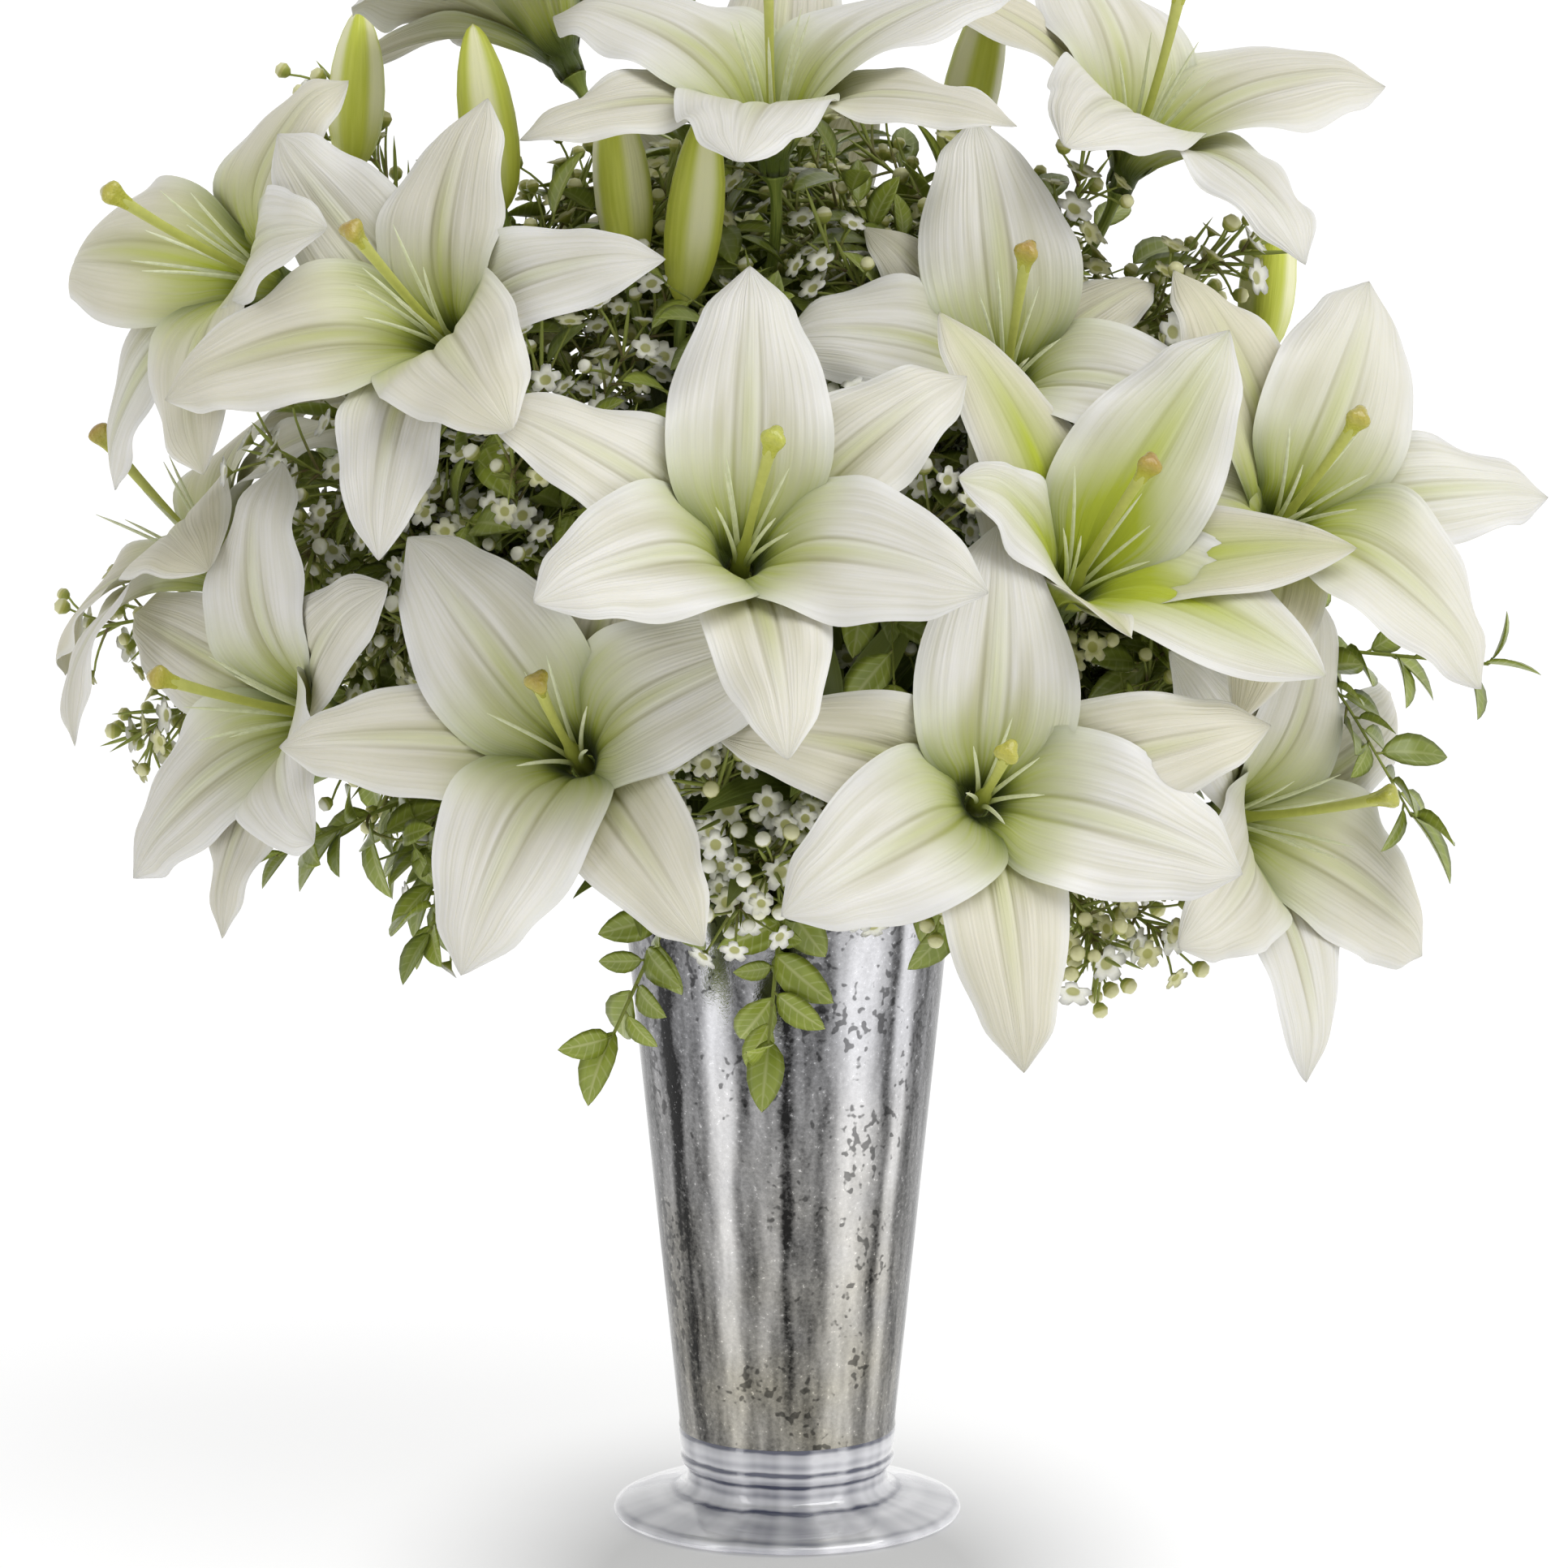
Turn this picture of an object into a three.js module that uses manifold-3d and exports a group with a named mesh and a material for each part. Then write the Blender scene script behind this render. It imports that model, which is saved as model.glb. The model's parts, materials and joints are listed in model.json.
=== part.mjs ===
// White lilies in a silvered glass vase: lily stems with their blooms, pistils and buds, sprays of
// waxflower and huckleberry between them, and the water that the stems stand in.
// Millimetres, +Z up. The origin is the middle of the vase's foot on the table, and -Y is the front.
import * as THREE from "three";
import { mergeVertices } from "three/addons/utils/BufferGeometryUtils.js";
import Module from "manifold-3d";

const wasm = await Module();
wasm.setup();

const UP = new THREE.Vector3(0, 0, 1);
const DEGREE = Math.PI / 180;

// ---- driving dimensions ----

const VASE_HEIGHT = 216;
const RIM_RADIUS = 55.2;
const BODY_FOOT_RADIUS = 36.2; // where the silvered body meets the clear foot
const BODY_FOOT_HEIGHT = 28.5;
const FOOT_RADIUS = 58.6;
const VASE_WALL = 2.8;
const VASE_FLOOR = 31; // top of the thick glass bottom, inside
const FLOOR_CHAMFER = 3; // between that bottom and the wall
const WATER_LEVEL = 140;

const PIECE_GAP = 0.35; // between pieces that touch
const MOUTH_LEVEL = 208; // where the stems' places in the mouth are given
const FLOOR_SPREAD = 0.56; // a stem's place on the vase's floor, as a share of its place in the mouth

const STEM_RADIUS = 3.1;
const STEM_TOP_RADIUS = 2.6;
const PEDICEL_RADIUS = 1.9;
const RECEPTACLE_RADIUS = 4.5;
const STYLE_LENGTH = 76;
const FILAMENT_LENGTH = 52;

const TEPAL_LENGTH = 96;
const INNER_TEPAL_WIDTH = 50;
const OUTER_TEPAL_WIDTH = 39;
const TEPAL_THICKNESS = 1.3;
const TUBE_HEIGHT = 6; // the short ring at the base of a bloom, where its tepals join
const TUBE_RADIUS = 4.9; // middle of the ring's wall
const TUBE_WALL = 1.5;
const ROOT_DEPTH = 1.5; // how deep a leaf or stalk sits in the end of its stem
const SLIVER = 0.06; // triangles thinner than this, which a union leaves, are dropped

// ---- small helpers ----

const vec = (x, y, z) => new THREE.Vector3(x, y, z);
const along = (p, direction, distance) => p.clone().addScaledVector(direction, distance);
const mix = (a, b, t) => a + (b - a) * t;

// A fixed draw between -1 and 1 for each seed.
function draw(seed) {
  const wave = Math.sin(seed * 12.9898 + 4.1414) * 43758.5453;
  return (wave - Math.floor(wave)) * 2 - 1;
}

function smooth(low, high, t) {
  const x = Math.min(1, Math.max(0, (t - low) / (high - low)));
  return x * x * (3 - 2 * x);
}

function geometryOf(points, triangles) {
  const geometry = new THREE.BufferGeometry().setFromPoints(points);
  geometry.setIndex(triangles);
  return geometry;
}

function solidOf(geometry) {
  const bare = geometry.clone();
  bare.deleteAttribute("normal");
  bare.deleteAttribute("uv");
  const merged = mergeVertices(bare, 1e-4);
  return new wasm.Manifold(
    new wasm.Mesh({
      numProp: 3,
      vertProperties: merged.attributes.position.array,
      triVerts: new Uint32Array(merged.index.array),
    }),
  );
}

function meshOf(name, solid, material) {
  const made = solid.getMesh();
  const geometry = new THREE.BufferGeometry();
  geometry.setAttribute("position", new THREE.BufferAttribute(made.vertProperties.slice(), 3));
  geometry.setIndex(new THREE.BufferAttribute(made.triVerts.slice(), 1));
  const mesh = new THREE.Mesh(geometry, material);
  mesh.name = name;
  return mesh;
}

// Two unit vectors across a direction: the first leans towards +Z.
function across(direction) {
  const helper = Math.abs(direction.z) > 0.97 ? vec(0, 1, 0) : UP;
  const first = helper.clone().addScaledVector(direction, -helper.dot(direction)).normalize();
  return [first, direction.clone().cross(first)];
}

// A closed tube through points, with a radius at each; a last radius of 0 makes a tip.
// From the ring lobesFrom on, every second corner is pulled in, which gives lobes.
function tube(points, radii, sides, lobesFrom = Infinity) {
  const corners = [];
  const triangles = [];
  let first = null;
  points.forEach((p, i) => {
    const before = points[Math.max(i - 1, 0)];
    const after = points[Math.min(i + 1, points.length - 1)];
    const tangent = after.clone().sub(before).normalize();
    if (!first) first = across(tangent)[0];
    first = first.clone().addScaledVector(tangent, -first.dot(tangent)).normalize();
    const second = tangent.clone().cross(first);
    if (radii[i] === 0) {
      corners.push(p.clone());
      return;
    }
    for (let j = 0; j < sides; j++) {
      const angle = (2 * Math.PI * j) / sides;
      const radius = radii[i] * (i >= lobesFrom && j % 2 ? 0.5 : 1);
      const corner = along(p, first, radius * Math.cos(angle));
      corners.push(corner.addScaledVector(second, radius * Math.sin(angle)));
    }
  });
  const rings = points.length;
  const pointed = radii[rings - 1] === 0;
  for (let i = 0; i < rings - 1; i++)
    for (let j = 0; j < sides; j++) {
      const a = i * sides + j;
      const b = i * sides + ((j + 1) % sides);
      if (pointed && i === rings - 2) triangles.push(a, b, (i + 1) * sides);
      else triangles.push(a, b, b + sides, a, b + sides, a + sides);
    }
  const last = (rings - 1) * sides;
  for (let j = 1; j < sides - 1; j++) {
    triangles.push(0, j + 1, j);
    if (!pointed) triangles.push(last, last + j, last + j + 1);
  }
  return solidOf(geometryOf(corners, triangles));
}

// Where something roots at a share of the way along straight stretches, and their direction there.
function onPath(points, share) {
  const stretches = points.length - 1;
  const i = Math.min(Math.floor(share * stretches), stretches - 1);
  const tangent = points[i + 1].clone().sub(points[i]).normalize();
  const point = points[i].clone().lerp(points[i + 1], share * stretches - i);
  return { point: along(point, tangent, -ROOT_DEPTH), tangent };
}

// Triangles between two rows of a blade, whose numbers of points may differ.
function stitch(a, b, turned) {
  const triangles = [];
  const push = (p, q, r) => triangles.push(...(turned ? [p, r, q] : [p, q, r]));
  let i = 0;
  let j = 0;
  while (i < a.length - 1 || j < b.length - 1) {
    const nextA = i < a.length - 1 ? (i + 1) / (a.length - 1) : Infinity;
    const nextB = j < b.length - 1 ? (j + 1) / (b.length - 1) : Infinity;
    if (nextA <= nextB) push(a[i], a[++i], b[j]);
    else push(a[i], b[j + 1], b[j++]);
  }
  return triangles;
}

// A closed blade from rows of { upper, lower } points, with rims down both sides.
function bladeTriangles(rows) {
  const triangles = [];
  for (let i = 0; i < rows.length - 1; i++) {
    const [a, b] = [rows[i], rows[i + 1]];
    triangles.push(...stitch(a.upper, b.upper, true), ...stitch(a.lower, b.lower, false));
    const [aEnd, bEnd] = [a.upper.length - 1, b.upper.length - 1];
    triangles.push(a.upper[0], b.lower[0], b.upper[0], a.upper[0], a.lower[0], b.lower[0]);
    triangles.push(a.upper[aEnd], b.upper[bEnd], b.lower[bEnd]);
    triangles.push(a.upper[aEnd], b.lower[bEnd], a.lower[aEnd]);
  }
  return triangles;
}

function blade(rows) {
  const points = [];
  const numbered = rows.map((row) => ({
    upper: row.upper.map((p) => points.push(p) - 1),
    lower: row.lower.map((p) => points.push(p) - 1),
  }));
  const root = numbered[0];
  const triangles = bladeTriangles(numbered);
  triangles.push(...stitch(root.lower, root.upper, true));
  return solidOf(geometryOf(points, triangles));
}

// ---- room: what stands first keeps its place, and what grows later bends clear of it ----

const standing = [];

function stand(solid) {
  standing.push({ solid, box: solid.boundingBox() });
}

function boxesMeet(a, b) {
  return [0, 1, 2].every((k) => a.min[k] <= b.max[k] && b.min[k] <= a.max[k]);
}

function isClear(solid) {
  const box = solid.boundingBox();
  return standing.every((other) => {
    if (!boxesMeet(box, other.box)) return true;
    return solid.intersect(other.solid).volume() <= 0;
  });
}

// ---- vase and water ----

// Inside radius of the vase at a height.
function insideRadius(height) {
  const share = (height - BODY_FOOT_HEIGHT) / (VASE_HEIGHT - BODY_FOOT_HEIGHT);
  return mix(BODY_FOOT_RADIUS, RIM_RADIUS, share) - VASE_WALL;
}

const VASE_SEGMENTS = 24;
const WATER_SEGMENTS = 12;

function vase() {
  const profile = [
    [0, 0],
    [FOOT_RADIUS - 2.4, 0],
    [FOOT_RADIUS, 1.6],
    [FOOT_RADIUS - 0.6, 4],
    [FOOT_RADIUS - 12, 7],
    [BODY_FOOT_RADIUS + 0.6, 9],
    [BODY_FOOT_RADIUS - 2.4, 11],
    [BODY_FOOT_RADIUS - 2.4, 17.5],
    [BODY_FOOT_RADIUS - 0.4, 20],
    [BODY_FOOT_RADIUS, BODY_FOOT_HEIGHT],
    [RIM_RADIUS, VASE_HEIGHT - 1.4],
    [RIM_RADIUS - 0.8, VASE_HEIGHT],
    [RIM_RADIUS - VASE_WALL + 0.4, VASE_HEIGHT],
    [insideRadius(VASE_FLOOR + FLOOR_CHAMFER), VASE_FLOOR + FLOOR_CHAMFER],
    [insideRadius(VASE_FLOOR) - FLOOR_CHAMFER, VASE_FLOOR],
    [0, VASE_FLOOR],
  ];
  const lathe = new THREE.LatheGeometry(
    profile.map(([r, z]) => new THREE.Vector2(r, z)),
    VASE_SEGMENTS,
  );
  return solidOf(lathe.rotateX(Math.PI / 2));
}

// The water fills the vase's lower part, with a plain hole for each stem.
function water(stems) {
  const [low, high] = [VASE_FLOOR + PIECE_GAP, WATER_LEVEL];
  const corner = low + FLOOR_CHAMFER;
  const profile = [
    [0, low],
    [insideRadius(corner) - FLOOR_CHAMFER - 0.5, low],
    [insideRadius(corner) - 2 * PIECE_GAP, corner + 0.4],
    [insideRadius(high) - 2 * PIECE_GAP, high],
    [0, high],
  ];
  const lathe = new THREE.LatheGeometry(
    profile.map(([r, z]) => new THREE.Vector2(r, z)),
    WATER_SEGMENTS,
  );
  let solid = solidOf(lathe.rotateX(Math.PI / 2));
  for (const { mouth, radius, sides } of stems) {
    const [bottom, top] = [stemPoint(mouth, low - 2), stemPoint(mouth, high + 2)];
    solid = solid.subtract(tube([bottom, top], [radius, radius].map((r) => r + PIECE_GAP), sides));
  }
  return solid;
}

// ---- stems inside the vase ----

// A stem's middle at a height inside the vase: all stems lean out from the floor to the mouth.
function stemPoint(mouth, height) {
  const share = (height - VASE_FLOOR) / (MOUTH_LEVEL - VASE_FLOOR);
  const spread = mix(FLOOR_SPREAD, 1, share);
  return vec(mouth[0] * spread, mouth[1] * spread, height);
}

function stemLean(mouth) {
  return stemPoint(mouth, MOUTH_LEVEL).sub(stemPoint(mouth, VASE_FLOOR)).normalize();
}

// ---- blooms ----

// at: base of the bloom. faces: the way that its throat opens. roll: turn of the first inner tepal
// from straight up, anticlockwise as seen from the front. open and curl: how far the tepals lean
// out from the bloom's axis, and how far their tips roll back after that, in degrees. own: what a
// tepal does differently: turn and lift in degrees, and size.
const BLOOMS = {
  lily_01: { at: [-15, -150, 332], faces: [0.1, -0.8, 0.59], roll: 2, open: 50, curl: 30, own: {} },
  lily_02: {
    at: [-62, -136, 272],
    faces: [-0.22, -0.88, 0.43],
    roll: 45,
    open: 54,
    curl: 34,
    own: { 1: { turn: -8 }, 4: { turn: 8, lift: 6 } },
  },
  lily_03: {
    at: [58, -141, 261],
    faces: [0.12, -0.93, 0.33],
    roll: 0,
    open: 56,
    curl: 34,
    own: { 1: { turn: 10 }, 4: { turn: 14 }, 5: { turn: -20 } },
  },
  lily_04: {
    at: [84, -112, 318],
    faces: [0.3, -0.68, 0.67],
    roll: -40,
    open: 36,
    curl: 20,
    own: { 2: { size: 0.8 }, 3: { size: 0.72, lift: 14 }, 4: { turn: 20, lift: 24 } },
  },
  lily_05: {
    at: [150, -88, 338],
    faces: [0.35, -0.77, 0.53],
    roll: -32,
    open: 54,
    curl: 36,
    own: { 1: { turn: -14 }, 2: { size: 0.8 }, 3: { size: 0.9 } },
  },
  lily_06: {
    at: [132, -62, 246],
    faces: [0.75, -0.65, 0.09],
    roll: -8,
    open: 52,
    curl: 36,
    own: { 0: { size: 0.94 } },
  },
  lily_07: {
    at: [-101, -100, 396],
    faces: [-0.42, -0.72, 0.55],
    roll: -6,
    open: 52,
    curl: 34,
    own: { 0: { size: 0.86 }, 2: { turn: 8 }, 3: { turn: 24 }, 5: { turn: -10 } },
  },
  lily_08: {
    at: [-158, -44, 415],
    faces: [-0.76, -0.56, 0.33],
    roll: -30,
    open: 54,
    curl: 46,
    own: { 0: { size: 0.84, lift: 16 }, 1: { size: 0.72, lift: 24 }, 3: { size: 1.06, lift: 10 } },
  },
  lily_09: {
    at: [-176, -14, 312],
    faces: [-0.69, -0.11, 0.71],
    roll: 30,
    open: 62,
    curl: 66,
    own: { 1: { size: 0.88 }, 2: { size: 0.88 } },
  },
  lily_10: {
    at: [-141, -70, 279],
    faces: [-0.75, -0.63, 0.19],
    roll: 0,
    open: 50,
    curl: 36,
    own: { 2: { turn: 22, size: 0.92 }, 3: { size: 0.88 } },
  },
  lily_11: { at: [-4, -66, 453], faces: [-0.05, -0.4, 0.92], roll: 60, open: 56, curl: 30, own: {} },
  lily_12: {
    at: [68, -74, 380],
    faces: [0.05, -0.79, 0.62],
    roll: 4,
    open: 50,
    curl: 34,
    own: {
      1: { turn: -24, size: 0.74 },
      2: { turn: -30, size: 0.9 },
      3: { size: 0.8 },
      5: { size: 0.7, lift: 20 },
    },
  },
  lily_13: {
    at: [-70, 4, 482],
    faces: [-0.47, 0.22, 0.86],
    roll: 15,
    open: 56,
    curl: 40,
    own: { 1: { size: 0.86 }, 2: { size: 0.86 } },
  },
  lily_14: {
    at: [108, -14, 446],
    faces: [0.32, -0.41, 0.86],
    roll: -5,
    open: 52,
    curl: 42,
    own: { 1: { turn: -20 }, 4: { turn: 14 }, 5: { size: 0.66, lift: -8 } },
  },
  lily_15: { at: [-98, 100, 318], faces: [-0.55, 0.77, 0.33], roll: 10, open: 54, curl: 36, own: {} },
  lily_16: { at: [96, 104, 330], faces: [0.5, 0.8, 0.35], roll: -20, open: 54, curl: 36, own: {} },
  lily_17: { at: [-6, 92, 398], faces: [-0.05, 0.75, 0.66], roll: 25, open: 54, curl: 34, own: {} },
};
const BLOOM_NAMES = Object.keys(BLOOMS);
const TEPALS = 6;
const SPINE_STEPS = 24;
// A tepal's rows: share of its length, and points across.
const INNER_TEPAL_ROWS = [
  [0, 3],
  [0.26, 5],
  [0.54, 5],
  [0.82, 3],
  [1, 1],
];
const OUTER_TEPAL_ROWS = [
  [0, 3],
  [0.3, 3],
  [0.68, 3],
  [1, 1],
];
const PROBE_MARGIN = 1.2; // how much thicker than the real one a piece is that tries for room

// The ways in which a tepal may give way to what stands already, the least of them first:
// lift in degrees, sway in millimetres at the tip, and size.
const GIVES = [1, 0.92, 0.84, 0.76, 0.68].flatMap((size) =>
  [0, -8, 8, -16, 16, -25, 25, -35].flatMap((lift) =>
    [0, 10, -10, 20, -20].map((sway) => ({ lift, sway, size })),
  ),
);

function bloomFrame(bloom) {
  const axis = vec(...bloom.faces).normalize();
  const [up, side] = across(axis);
  return { base: vec(...bloom.at), axis, up, side };
}

function radialOf(frame, degrees) {
  const angle = degrees * DEGREE;
  const radial = frame.up.clone().multiplyScalar(Math.cos(angle));
  return radial.addScaledVector(frame.side, Math.sin(angle));
}

// Half of a tepal's width at a share of its length: a narrow claw, a broad middle, a short tip.
function halfWidth(share, width) {
  const body = Math.sin(Math.PI * Math.pow(share, 0.86));
  return 2.6 * Math.pow(1 - share, 3) + (width / 2) * Math.pow(Math.max(body, 0), 0.82);
}

// A tepal's own shape: its spine's lean at each share of the length, and its frame.
function tepalShape(bloomName, k, give) {
  const bloom = BLOOMS[bloomName];
  const frame = bloomFrame(bloom);
  const own = { turn: 0, lift: 0, size: 1, ...bloom.own[k] };
  const seed = BLOOM_NAMES.indexOf(bloomName) * 10 + k;
  const inner = k % 2 === 0;
  const degrees = bloom.roll + (360 / TEPALS) * k + own.turn + 4 * draw(seed);
  const radial = radialOf(frame, degrees);
  const size = own.size * give.size;
  const open = bloom.open + give.lift + own.lift + (inner ? 0 : -6) + 5 * draw(seed + 0.2);
  const curl = bloom.curl * (1 + 0.25 * draw(seed + 0.3));
  const first = inner ? 12 : 24;
  return {
    frame,
    radial,
    sideways: frame.axis.clone().cross(radial),
    seed,
    length: TEPAL_LENGTH * size * (1 + 0.04 * draw(seed + 0.1)),
    width: (inner ? INNER_TEPAL_WIDTH : OUTER_TEPAL_WIDTH) * size,
    sway: give.sway + 5 * draw(seed + 0.6),
    lean: (t) => (first + open * smooth(-0.1, 0.62, t) + curl * Math.pow(t, 2.4)) * DEGREE,
  };
}

// A point of a tepal's face. v runs from -1 to 1 across it, lift is its height off the middle.
function tepalPoint(shape, share, v, lift) {
  let out = TUBE_RADIUS;
  let up = TUBE_HEIGHT;
  const step = (share * shape.length) / SPINE_STEPS;
  for (let i = 0; i < SPINE_STEPS; i++) {
    const angle = shape.lean((share * (i + 0.5)) / SPINE_STEPS);
    out += Math.sin(angle) * step;
    up += Math.cos(angle) * step;
  }
  const angle = shape.lean(share);
  const normal = shape.frame.axis.clone().multiplyScalar(Math.sin(angle));
  normal.addScaledVector(shape.radial, -Math.cos(angle));
  const twist = 12 * draw(shape.seed + 0.4) * share * share * DEGREE;
  const widthways = shape.sideways.clone().multiplyScalar(Math.cos(twist));
  widthways.addScaledVector(normal, Math.sin(twist));
  const half = halfWidth(share, shape.width);
  const channel = mix(0.42, -0.2, smooth(0, 1, share)) * half * v * v;
  const wave = Math.sin(9 * share + 6 * draw(shape.seed + 0.5) + v);
  const ruffle = 7.8 * wave * share * (1 - share) * Math.abs(v) ** 3;
  const point = along(shape.frame.base, shape.frame.axis, up).addScaledVector(shape.radial, out);
  point.addScaledVector(shape.sideways, shape.sway * share * share);
  point.addScaledVector(widthways, v * half);
  return point.addScaledVector(normal, channel + ruffle + lift);
}

// Rows of { upper, lower } points from a function of share, place across and lift.
function bladeRows(rows, thickness, pointAt) {
  return rows.map(([share, count]) => {
    const places = count === 1 ? [0] : [...Array(count).keys()].map((i) => (2 * i) / (count - 1) - 1);
    const face = (lift) => places.map((v) => pointAt(share, v, lift));
    return { upper: face(thickness / 2), lower: face(-thickness / 2) };
  });
}

function tepalRows(shape, k, thickness) {
  const rows = k % 2 === 0 ? INNER_TEPAL_ROWS : OUTER_TEPAL_ROWS;
  return bladeRows(rows, thickness, (share, v, lift) => tepalPoint(shape, share, v, lift));
}

// The shape in which a tepal stands clear.
function roomForTepal(bloomName, k) {
  for (const give of GIVES) {
    const shape = tepalShape(bloomName, k, give);
    if (isClear(blade(tepalRows(shape, k, TEPAL_THICKNESS + PROBE_MARGIN)))) return shape;
  }
  throw new Error(`no room for tepal ${k} of ${bloomName}`);
}

// One bloom's six tepals, which join in a short ring round the receptacle.
function perianth(bloomName, shapes) {
  const frame = bloomFrame(BLOOMS[bloomName]);
  const roll = BLOOMS[bloomName].roll;
  const points = [];
  const ring = (radius, height) =>
    [...Array(TEPALS).keys()].map((j) => {
      const radial = radialOf(frame, roll + (360 / TEPALS) * (j - 0.5));
      return points.push(along(frame.base, frame.axis, height).addScaledVector(radial, radius)) - 1;
    });
  const innerRadius = TUBE_RADIUS - TUBE_WALL / 2;
  const outerRadius = TUBE_RADIUS + TUBE_WALL / 2;
  const [innerLow, innerHigh] = [ring(innerRadius, 0), ring(innerRadius, TUBE_HEIGHT)];
  const [outerLow, outerHigh] = [ring(outerRadius, 0), ring(outerRadius, TUBE_HEIGHT)];
  const round = (row, from = 0, to = row.length) =>
    [...Array(to - from + 1).keys()].map((i) => row[(from + i) % row.length]);
  const triangles = [
    ...stitch(round(innerLow), round(innerHigh), true),
    ...stitch(round(outerLow), round(outerHigh), false),
    ...stitch(round(outerLow), round(innerLow), true),
  ];
  shapes.forEach((shape, k) => {
    const numbered = tepalRows(shape, k, TEPAL_THICKNESS)
      .slice(1)
      .map((row) => ({
        upper: row.upper.map((p) => points.push(p) - 1),
        lower: row.lower.map((p) => points.push(p) - 1),
      }));
    const root = {
      upper: round(innerHigh, k, k + 1),
      lower: round(outerHigh, k, k + 1),
    };
    triangles.push(...bladeTriangles([root, ...numbered]));
  });
  return solidOf(geometryOf(points, triangles));
}

// ---- lily stems, each with its pedicels, pistils, buds and leaves ----

// mouth: place in the vase's mouth. apex: where the pedicels part. buds: where each bud's base is,
// which way it points, and its length.
const LILY_STEMS = {
  lily_stem_01: { mouth: [-22, -30], apex: [-52, -66, 258], blooms: ["lily_02", "lily_10"], buds: [] },
  lily_stem_02: { mouth: [3, -34], apex: [12, -72, 270], blooms: ["lily_01", "lily_03"], buds: [] },
  lily_stem_03: { mouth: [34, -14], apex: [82, -36, 262], blooms: ["lily_05", "lily_06"], buds: [] },
  lily_stem_04: { mouth: [18, -14], apex: [46, -38, 312], blooms: ["lily_04", "lily_12"], buds: [] },
  lily_stem_05: {
    mouth: [0, -12],
    apex: [-16, -26, 360],
    blooms: ["lily_11"],
    buds: [
      [[-50, -64, 422], [-0.1, -0.1, 1], 58],
      [[-33, -72, 412], [0.12, -0.1, 1], 62],
    ],
  },
  lily_stem_06: {
    mouth: [-20, -10],
    apex: [-72, -26, 330],
    blooms: ["lily_07", "lily_08"],
    buds: [
      [[-92, -34, 440], [-0.15, 0, 1], 60],
      [[-142, -6, 452], [0.06, 0, 1], 52],
    ],
  },
  lily_stem_07: { mouth: [-34, 12], apex: [-92, 22, 268], blooms: ["lily_09", "lily_15"], buds: [] },
  lily_stem_08: { mouth: [-12, 8], apex: [-42, 24, 378], blooms: ["lily_13", "lily_17"], buds: [] },
  lily_stem_09: {
    mouth: [14, 6],
    apex: [56, 4, 372],
    blooms: ["lily_14"],
    buds: [
      [[54, -8, 448], [0.22, 0.05, 1], 66],
      [[154, -20, 392], [0.1, 0, 1], 50],
    ],
  },
  lily_stem_10: { mouth: [20, 28], apex: [58, 62, 282], blooms: ["lily_16"], buds: [] },
};
const STEM_SIDES = 6;
const STEM_STEPS = 3; // straight stretches of a stem above the mouth
const FILAMENTS = 3;
const PEDICEL_STEPS = 3;
const PEDICEL_ROOT = 3; // how deep a pedicel starts in the top of its stem
const BLOOM_NECK = 9; // from the end of a pedicel to the base of its bloom
const BUD_NECK = 6;
const FILAMENT_RADIUS = 0.8;
const RECEPTACLE_SEAT = -PIECE_GAP / STYLE_LENGTH; // the bloom's ring rests on it

// The pistil: shares of STYLE_LENGTH, and radii of the receptacle, ovary, style and stigma.
const PISTIL = [
  [RECEPTACLE_SEAT, RECEPTACLE_RADIUS],
  [RECEPTACLE_SEAT + 0.0005, 3.2],
  [0.22, 2.7],
  [0.31, 1.4],
  [0.91, 1.6],
  [0.96, 4.6],
  [1, 0],
];
const STIGMA_FROM = 5; // the ring from which the stigma has three lobes
const BUD_PROFILE = [
  [0, 2],
  [0.06, 4.6],
  [0.35, 8],
  [0.78, 6],
  [1, 0],
];

function stemCurve(mouth, end) {
  const start = stemPoint(mouth, MOUTH_LEVEL);
  const reach = start.distanceTo(end);
  const control = along(start, stemLean(mouth), reach * 0.45);
  return new THREE.QuadraticBezierCurve3(start, control, end);
}

function mainStem(stem) {
  const apex = vec(...stem.apex);
  const upper = stemCurve(stem.mouth, apex).getPoints(STEM_STEPS);
  const points = [stemPoint(stem.mouth, VASE_FLOOR + PIECE_GAP), ...upper];
  const radii = points.map((_, i) => mix(STEM_RADIUS, STEM_TOP_RADIUS, i / (points.length - 1)));
  return tube(points, radii, STEM_SIDES);
}

function pedicelCurve(stem, end, arrive) {
  const apex = vec(...stem.apex);
  const lean = stemCurve(stem.mouth, apex).getTangent(1);
  const start = along(apex, lean, -PEDICEL_ROOT);
  const reach = start.distanceTo(end);
  return new THREE.CubicBezierCurve3(
    start,
    along(start, lean, reach * 0.35),
    along(end, arrive, -reach * 0.4),
    end,
  );
}

// The style leans a little upwards as it grows out of the bloom.
function stylePoint(frame, seed, share) {
  const point = along(frame.base, frame.axis, STYLE_LENGTH * share);
  const lean = Math.max(share, 0) ** 2;
  point.addScaledVector(frame.up, (6 + 4 * draw(seed)) * lean);
  return point.addScaledVector(frame.side, 5 * draw(seed + 0.5) * lean);
}

// Pedicel, receptacle and pistil grow as one.
function pistil(stem, bloomName) {
  const frame = bloomFrame(BLOOMS[bloomName]);
  const seed = 200 + BLOOM_NAMES.indexOf(bloomName);
  const end = along(frame.base, frame.axis, -BLOOM_NECK);
  const pedicel = pedicelCurve(stem, end, frame.axis).getPoints(PEDICEL_STEPS);
  const points = [...pedicel, ...PISTIL.map(([share]) => stylePoint(frame, seed, share))];
  const radii = [...pedicel.map(() => PEDICEL_RADIUS), ...PISTIL.map(([, radius]) => radius)];
  return tube(points, radii, STEM_SIDES, pedicel.length + STIGMA_FROM);
}

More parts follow.
